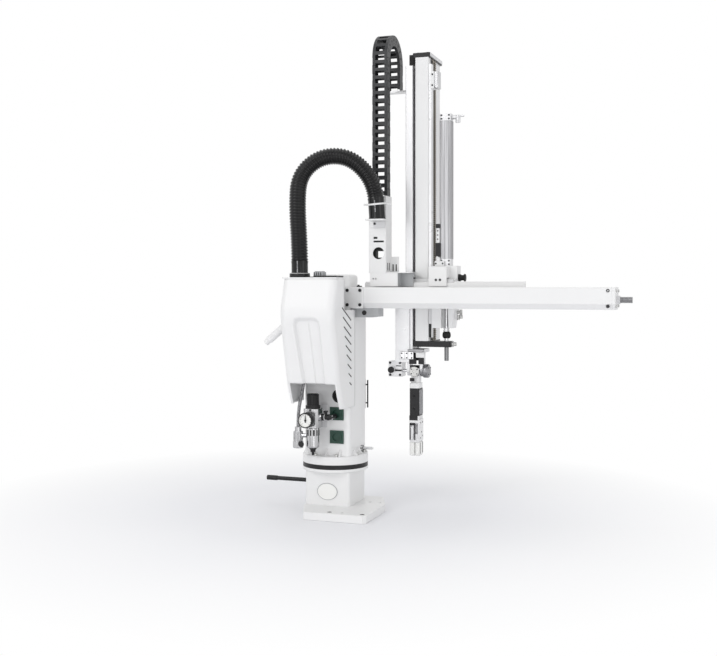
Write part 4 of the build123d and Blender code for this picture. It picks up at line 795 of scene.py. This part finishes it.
turned_piece("gauge_bezel", "black_plastic", column, [
    ((GAUGE_X, -144, GAUGE_Z), FRONT, [
        (20.4, 0), (21.4, 1), (21.4, 16), (20.2, 17.6), (18.2, 17.2), (18, 11.6)])], 48)
ticks = bmesh.new()
for i in range(11):
    tick = 3.6 if i % 5 == 0 else 2.4
    turn = Matrix.Rotation(math.radians(-135 + 27 * i), 4, "Y")
    place = place_mm(GAUGE_X, -156.2, GAUGE_Z) @ turn @ place_mm(0, 0, 16.4 - tick / 2)
    add_bar(ticks, place, (0.8, 0.4, tick))
new_piece("gauge_ticks", to_mesh("gauge_ticks", ticks), "needle_plastic", column)
turned_piece("outlet_fitting", "black_plastic", column, [
    ((3.5, UNIT_Y, OUTLET_Z), RIGHT, [
        (9.6, 0), (9.6, 7), (6.9, 9), (6.9, 14), (8.6, 16), (8.6, 21), (6.4, 23), (6.4, 30)]),
    ((28, -122.5, OUTLET_Z), BACK, [(0, 0), (6.5, 1.5), (6.8, 6), (6.8, 44)]),
    ((14, UNIT_Y, 286), UP, [(4, 0), (4, 7), (6.5, 8), (6.5, 12), (0, 13)])])
turned_piece("body_bands", "black_plastic", column, [
    ((UNIT_X, UNIT_Y, 298), UP, [(23.2, 0), (23.2, 5), (21, 6.2), (17.5, 6.2)]),
    ((UNIT_X, UNIT_Y, 247), UP, [(18.6, 0), (19.4, 1), (19.4, 5), (18.6, 6)])], 8)
# Painted shade: black bars for the dark inside of the slots in the bowl guard
slots = bmesh.new()
for i in range(12):
    turn = Matrix.Rotation(math.radians(30 * i), 4, "Z")
    add_bar(slots, place_mm(UNIT_X, UNIT_Y, 236) @ turn @ place_mm(18, 0, 0), (0.8, 4, 16))
new_piece("bowl_slot_shade", to_mesh("bowl_slot_shade", slots), "bore_black", column, 0.3)
turned_piece("bowl_drain", "black_plastic", column, [
    ((UNIT_X, UNIT_Y, 171.8), UP, [
        (3.7, 0), (3.9, 7), (5.5, 9.4), (7.4, 9.4), (7.6, 14), (10, 18), (12.5, 21.4)])])
knurls = []
for i in range(18):
    a = math.radians(20 * i)
    foot = (VALVE_X + KNURL_R * math.cos(a), UNIT_Y + KNURL_R * math.sin(a), 212)
    knurls.append((foot, UP, [(1.3, 0), (1.3, 24)]))
turned_piece("valve_knurls", "bowl_metal", column, knurls, 6)
turned_piece("valve_button", "black_plastic", column, [
    ((-56, -128, 203), (0.5, -0.86, 0), [(8, 0), (8, 6), (6.6, 8), (0, 8.4)])])

# Carriage

# Painted shade: grey sheets line the gap under the top sheet, where the sheet's shade falls between the
# blocks
piece("gap_shade_lining", "grey_paint", car, [
    ((196.2, 14, 648), (231, 19.5, 685.8)),
    ((196.2, 19, 674), (231, 38, 685.8)),
    ((196, -19.4, 648.6), (196.8, 14, 685.6)),
], bevel=0.8)
piece("top_sheet", "white_paint", car, [((162, -20, 686), (233, 50, 688.4))], bevel=0.5)
piece("stay_plate", "white_paint", car, [
    ((161, 30, 688), (184, 33, 734)),
    ((161, 20, 688.4), (184, 33, 690)),
], bevel=0.5)
# Painted shade: black bars for the dark inside of the slots in the stay plate and the side sheet
stay_slot_shade = [((x, 29.6, 692), (x + 3.4, 31, 712)) for x in (165, 174.5)]
stay_slot_shade += [((159, y, 694), (161.3, y + 6, 716)) for y in (-6, 10)]
piece("stay_slot_shade", "bore_black", car, stay_slot_shade, bevel=0.3)
piece("guide_apron", "white_paint", car, [
    ((277, 14, 648), (330, 19.5, 704)),
    ((277, 19, 672), (330, 52, 704)),
], bevel=1)
piece("guide_valve", "white_paint", car, [
    ((284, 53.5, 707), (312, 63, 721)),
    ((290, 54, 721), (300, 62, 730)),
], [((292, 58, 730), UP, [(4.6, 0), (4.6, 4), (3, 6), (0, 6.4)])], bevel=1)
piece("guide_sensor", "black_plastic", car, [
    ((286, 54, 733), (301, 63, 773)),
    ((287, 54, 816), (299, 62, 828)),
], bevel=1.4)
piece("sensor_bar", "white_paint", car, [((289, 56, 773), (298, 63, 816))], bevel=0.8)
screws("sensor_bar_dots", car, [(293, 56, z) for z in (784, 796, 808)], FRONT, 2, 0.8)
screws("guide_dots", car, [(299, 14, 666.5), (311, 14, 666.5)], FRONT, 3.6, 1)
screws("valve_dots", car, [(288, 53.5, 714), (308, 53.5, 714)], FRONT, 2.4, 0.8)
buffer_profile = [
    (0, 0), (10.2, 0), (10.2, 5.4), (8.4, 7), (8.4, 9), (7.6, 12), (8.2, 15), (11, 16.5),
    (11, 19), (10, 20.5), (0, 20.5),
]
ribbed_buffer = turned_piece("ribbed_buffer", "rubber", car, [
    ((352, 68, 673), RIGHT, buffer_profile)], 32)
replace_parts(ribbed_buffer, "kick_buffer")
turned_piece("speed_fitting", "zinc", car, [
    ((340, 84, 574), RIGHT, [(5, 0), (5, 8), (4, 9), (4, 16), (0, 16)]),
    ((355, 84, 555), UP, [(0, 0), (4, 0), (5, 3), (5, 10), (4, 12), (4, 26), (0, 27)]),
    ((347, 84, 566), DOWN, [(3, 0), (3, 10), (4.4, 11), (4.4, 15), (0, 15)])])
tie_place, tie_heading = along(hose_line, hose_length - 43 * MM)
tie_profile = [(24.1, -2.5), (26.2, -2.5), (26.2, 2.5), (24.1, 2.5)]
piece("hose_clamp", "white_paint", car, [
    ((101, -41, 878), (121, -35, 883)),
    ((167, -41, 878), (181, -35, 883)),
], [(tuple(tie_place / MM), tuple(-tie_heading), tie_profile)], bevel=0.4, steps=48)
piece("clamp_plate", "pale_grey", car, [((125, -25, 815), (160, -23, 834))], bevel=0.8)
screws("clamp_plate_screw", car, [(129, -25, 827)], FRONT, 3.4, 2)
# Painted shade: black sheets and blocks where the inside of the bracket lies in shade
piece("bracket_inside_shade", "bore_black", car, [
    ((123, -16.5, 770), (159, -15, 794)),
    ((113, -4, 712), (125, 20, 772)),
    ((125, -4, 712), (150, 20, 731)),
    ((125, -4, 750), (150, 20, 772)),
    ((150, -4, 712), (158, 20, 772)),
    ((157.2, -8, 692), (158.4, 18, 718)),
], bevel=0.5)
turned_piece("cylinder_lobes", "barrel_metal", car, [
    ((LIFT_X + dx, LIFT_Y + dy, 727.5), UP, disc(4.6, 398))
    for dx in (-12.5, 12.5) for dy in (-12.5, 12.5)], 16)
head_places = [(LIFT_X + dx, 64, z) for dx in (-11, 11) for z in (712, 722, 1131, 1141)]
screws("head_screws", car, head_places, FRONT, 2.6, 1.6, steps=12)
ball_profile = [(6.1, 0), (8.5, 0), (11.6, 4), (12.4, 10), (11.2, 16), (8, 20), (6.1, 20)]
ball = turned_piece("ball_buffer", "rubber", arm, [((LIFT_X, LIFT_Y, 498), UP, ball_profile)], 36)
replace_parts(ball, "rod_buffer")
turned_piece("buffer_washers", "bowl_metal", arm, [
    ((LIFT_X, LIFT_Y, 518), UP, [
        (6.1, 0), (9.5, 0), (9.5, 2.6), (8, 3), (8, 7), (9, 7.4), (9, 9.6), (6.1, 9.6)])], 6)

# Main arm and sub arm

turned_piece("foot_nut", "zinc", arm, [
    ((328.6, 80, 481.5), RIGHT, [(8.2, 0), (8.2, 5.6), (5.4, 6.4), (5.4, 13.4), (0, 13.6)])], 24)
piece("arm_side_strip", "black_plastic", arm, [
    ((264.2, 63.8, 500), (271.8, 64.2, 650)),
    ((264, 84, 492), (265.2, 96, 1310)),
], bevel=0.2)
strands = [((264, y0, 490), (266.6, y1, 1312)) for y0, y1 in ((98, 108), (120, 132))]
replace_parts(piece("belt_strands", "belt_rubber", arm, strands, bevel=0.3), "drive_belt")
TOOTH_COUNT, TOOTH_PITCH = 136, 6
teeth = bmesh.new()
for y in (96.5, 108.8, 118.5, 132.8):
    for i in range(TOOTH_COUNT):
        rise = TOOTH_PITCH * i
        add_box(teeth, (264, y - 0.9, 492 + rise), (267, y + 0.9, 495.4 + rise))
new_piece("belt_teeth", to_mesh("belt_teeth", teeth), "black_plastic", arm)
cap_places = [(x, y, 1326) for x in (230, 258) for y in (75, 175)]
screws("arm_cap_screws", arm, cap_places, UP, 4, 3, "zinc")
screws("stop_screws", arm, [(276, 59.4, z) for z in (1229, 1260)], FRONT, 2.6, 1.2)
piece("cap_side", "pale_grey", arm, [((268, 64, 1315.5), (268.6, 198.8, 1325.8))], bevel=0.2)
piece("stop_cover", "white_paint", arm, [((270.5, 59.4, 1219.5), (281, 88.4, 1269.5))], bevel=1)
piece("stop_body", "bowl_metal", arm, [((282.6, 59.4, 1219.5), (294.4, 88.4, 1269.5))], bevel=2.4)
turned_piece("rod_end", "rail_steel", arm, [
    ((LIFT_X, LIFT_Y, 433), UP, [(0, 0), (5.6, 0), (6.4, 1), (6.4, 40)])])
piece("arm_cap_pad", "rubber", arm, [((206, 63, 1290), (219, 66.2, 1318))], bevel=1)
foot_places = [(x, y, 473) for x in (232, 256) for y in (120, 170)]
screws("foot_screws", arm, foot_places, DOWN, 4, 3, "zinc", 14)
piece("wrist_block", "bowl_metal", sub, [
    ((182, 49, 437), (222, 54, 459)),
    ((182, 54, 456.2), (222, 60, 459)),
], bevel=0.8)
block_places = [(x, 49, z) for x in (187, 202, 217) for z in (441, 454)]
screws("wrist_block_screws", sub, block_places, FRONT, 2.2, 1)
piece("wrist_bridge", "white_paint", sub, [((229, 50, 442), (254, 62, 456))], bevel=1.2)
piece("wrist_blocks", "black_plastic", sub, [
    ((208, 52, 423), (229, 59.6, 441)),
    ((236, 52, 423), (252, 59.6, 442)),
    ((208, 62, 433), (235, 96, 456)),
], bevel=1)
piece("wrist_top", "dark_aluminium", sub, [((203, 53, 459), (252, 61, 466))], bevel=0.8)
cylinder_places = [(x, 60, z) for x in (148.5, 178.5) for z in (390, 425)]
screws("cylinder_screws", sub, cylinder_places, FRONT, 3.6, 2)
turned_piece("cylinder_knob", "black_plastic", sub, [
    ((154.5, 52, 405), FRONT, [(9, 0), (9.4, 1), (9.4, 6), (8, 8), (0, 8.4)])])
piece("cylinder_band", "black_paint", sub, [
    ((164, 57, 401), (184, 60.5, 405.5)),
    ((166, 58, 415), (182, 60.4, 417.5)),
], bevel=0.5)
turned_piece("cylinder_rods", "brushed_steel", sub, [
    ((183, y, FLIP_Z), RIGHT, [(3.4, 0), (3.4, 14.5)]) for y in (69, 91)])
drum_profile = [
    (16.2, 0), (16.4, 9), (19.4, 9), (20, 10), (20, 21), (19, 23.6), (15, 25.4), (6, 25.4),
    (5, 24.6), (0, 24.6),
]
drum = turned_piece("short_drum", "dark_aluminium", sub, [
    ((236.6, FLIP_Y, FLIP_Z), RIGHT, drum_profile)], 48)
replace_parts(drum, "flip_drum")
drum_places = [
    (262, FLIP_Y + 13 * math.cos(a), FLIP_Z + 13 * math.sin(a))
    for a in (0.785, 2.356, 3.927, 5.498)]
screws("drum_screws", sub, drum_places, RIGHT, 2.2, 1)

# Wrist and gripper

turned_piece("hub_disc", "zinc", wrist, [
    ((GRIP_X, 63, HUB_Z), FRONT, [
        (14, 0), (14.5, 1), (14.5, 3.4), (13.6, 4.4), (5, 4.4), (4.4, 3.4), (0, 3.4)])], 40)
hub_places = [
    (GRIP_X + 10.6 * math.cos(a), 58.6, HUB_Z + 10.6 * math.sin(a)) for a in (0.6, 2.5, 3.8, 5.6)]
screws("hub_screws", wrist, hub_places, FRONT, 1.9, 0.9)
piece("neck_clip", "black_plastic", wrist, [((208, 59.6, 372), (222, 61, 382))], bevel=0.5)
piece("posture_skirt", "black_paint", wrist, [((206.2, 60.4, 259), (231, 99.6, 273))], bevel=0.8)
piece("posture_band", "white_paint", wrist, [((206, 60, 252), (237, 100, 259))], bevel=0.8)
piece("posture_side", "side_mesh", wrist, [((236, 62, 276), (237.2, 98, 348))], bevel=0.6)
# Painted shade: these flat heads are the hole-shade black, for the dark of their sockets
screws("posture_screws", wrist, [(218, 61, z) for z in (334, 298)], FRONT, 2.6, 0.6, "bore_black")
piece("gripper_frame", "black_plastic", wrist, [
    ((207, 59.5, 244), (224, 61.2, 251)),
    ((207, 59.5, 202), (209.6, 61.2, 244)),
    ((221, 59.5, 202), (224, 61.2, 244)),
], bevel=0.5)
piece("gripper_lever", "bowl_metal", wrist, [
    ((211, 57.8, 203), (218.5, 61.2, 238)),
    ((209.8, 58.6, 236), (220.5, 61, 241)),
], bevel=1)
piece("gripper_side", "white_paint", wrist, [((235.8, 61.5, 199), (238, 98.5, 262))], bevel=0.8)
# Painted shade: black discs for the dark insides of the holes in the gripper's side plate
hole_places = [(238, y, z) for y, z in ((70, 252), (90, 252), (80, 224), (70, 208), (90, 212))]
screws("gripper_side_hole_shade", wrist, hole_places, RIGHT, 2.4, 0.4, "bore_black")
for side, label in ((-1, "left"), (1, "right")):
    x0, x1 = sorted((GRIP_X + side * 0.6, GRIP_X + side * 16))
    jaw = [((x0, 62.5, 155.5), (x1, 97.5, 197))]
    piece("jaw_pad_" + label, "clear_pad", "jaw_" + label, jaw, bevel=4.5)
piece("jaw_strip", "black_plastic", "jaw_right", [
    ((236.4, 66, 162), (238, 69, 194)),
    ((236.4, 90, 162), (238, 95, 194)),
], bevel=0.5)


# Floor, light and camera

def seen_rays(tree):
    """1 for what is seen straight, in a reflection or through glass, and 0 for light on a surface."""
    rays = tree.nodes.new("ShaderNodeLightPath")
    seen = rays.outputs["Is Camera Ray"]
    for name in ("Is Glossy Ray", "Is Transmission Ray"):
        either = tree.nodes.new("ShaderNodeMath")
        either.operation = "MAXIMUM"
        link(tree, seen, either.inputs[0])
        link(tree, rays.outputs[name], either.inputs[1])
        seen = either.outputs["Value"]
    return seen


def make_floor():
    """A pale floor that fades to white far from the object."""
    shape = bmesh.new()
    bmesh.ops.create_circle(shape, cap_ends=True, radius=9, segments=64)
    mesh = to_mesh("floor", shape)
    floor = bpy.data.objects.new("floor", mesh)
    bpy.context.scene.collection.objects.link(floor)
    floor.location.z = -0.0005
    made = bpy.data.materials.new("pale_floor")
    made.use_nodes = True
    tree = made.node_tree
    shader = tree.nodes["Principled BSDF"]
    shader.inputs["Roughness"].default_value = 0.55
    cloud = noise(tree, 0.9, 2.0)
    colour = blend_colours(tree, cloud, (0.83, 0.84, 0.88), (0.93, 0.93, 0.95))
    link(tree, colour, shader.inputs["Base Color"])
    place = tree.nodes.new("ShaderNodeTexCoord")
    length = tree.nodes.new("ShaderNodeVectorMath")
    length.operation = "LENGTH"
    link(tree, place.outputs["Object"], length.inputs[0])
    glow = tree.nodes.new("ShaderNodeEmission")
    mix = tree.nodes.new("ShaderNodeMixShader")
    both = tree.nodes.new("ShaderNodeMath")
    both.operation = "MULTIPLY"
    link(tree, remap(tree, length.outputs["Value"], 0, 1, 0.4, 1.2), both.inputs[0])
    link(tree, seen_rays(tree), both.inputs[1])
    link(tree, both.outputs["Value"], mix.inputs["Fac"])
    link(tree, shader.outputs["BSDF"], mix.inputs[1])
    link(tree, glow.outputs["Emission"], mix.inputs[2])
    link(tree, mix.outputs["Shader"], tree.nodes["Material Output"].inputs["Surface"])
    mesh.materials.append(made)


def make_world(strength):
    """Plain light from all round, and white where the eye sees the sky."""
    world = bpy.data.worlds.new("studio")
    bpy.context.scene.world = world
    world.use_nodes = True
    tree = world.node_tree
    light = tree.nodes["Background"]
    light.inputs["Strength"].default_value = strength
    light.inputs["Color"].default_value = (1, 1, 1, 1)
    white = tree.nodes.new("ShaderNodeBackground")
    white.inputs["Strength"].default_value = 1
    white.inputs["Color"].default_value = (1, 1, 1, 1)
    mix = tree.nodes.new("ShaderNodeMixShader")
    link(tree, seen_rays(tree), mix.inputs["Fac"])
    link(tree, light.outputs["Background"], mix.inputs[1])
    link(tree, white.outputs["Background"], mix.inputs[2])
    link(tree, mix.outputs["Shader"], tree.nodes["World Output"].inputs["Surface"])


def make_lamp(name, place, size, power, target=(0.2, 0, 0.7)):
    """A square soft lamp that points at the middle of the object or at a given place."""
    lamp = bpy.data.lights.new(name, "AREA")
    lamp.shape = "SQUARE"
    lamp.size = size
    lamp.energy = power
    obj = bpy.data.objects.new(name, lamp)
    bpy.context.scene.collection.objects.link(obj)
    obj.location = place
    obj.rotation_euler = (Vector(target) - Vector(place)).to_track_quat("-Z", "Y").to_euler()


make_floor()
make_world(0.68)
make_lamp("key", (-1.6, -3.2, 2.6), 1.8, 33)
make_lamp("top", (0.4, 0.4, 4.0), 2.2, 17)
make_lamp("side", (3.4, -1.2, 1.6), 1.6, 8)
make_lamp("fill", (-0.6, -3.4, 0.45), 1.4, 9)
make_lamp("low", (1.3, -1.9, 0.3), 0.9, 6, (0, 0, 0.12))

camera_data = bpy.data.cameras.new("camera")
camera_data.sensor_width = 36
camera_data.lens = 52.72
camera_data.shift_y = -0.057
camera = bpy.data.objects.new("camera", camera_data)
bpy.context.scene.collection.objects.link(camera)
camera.location = (1.0866, -2.8678, 0.646)
camera.rotation_euler = (math.radians(90), 0, math.radians(19.5))
bpy.context.scene.camera = camera
bpy.context.scene.view_settings.view_transform = "Standard"
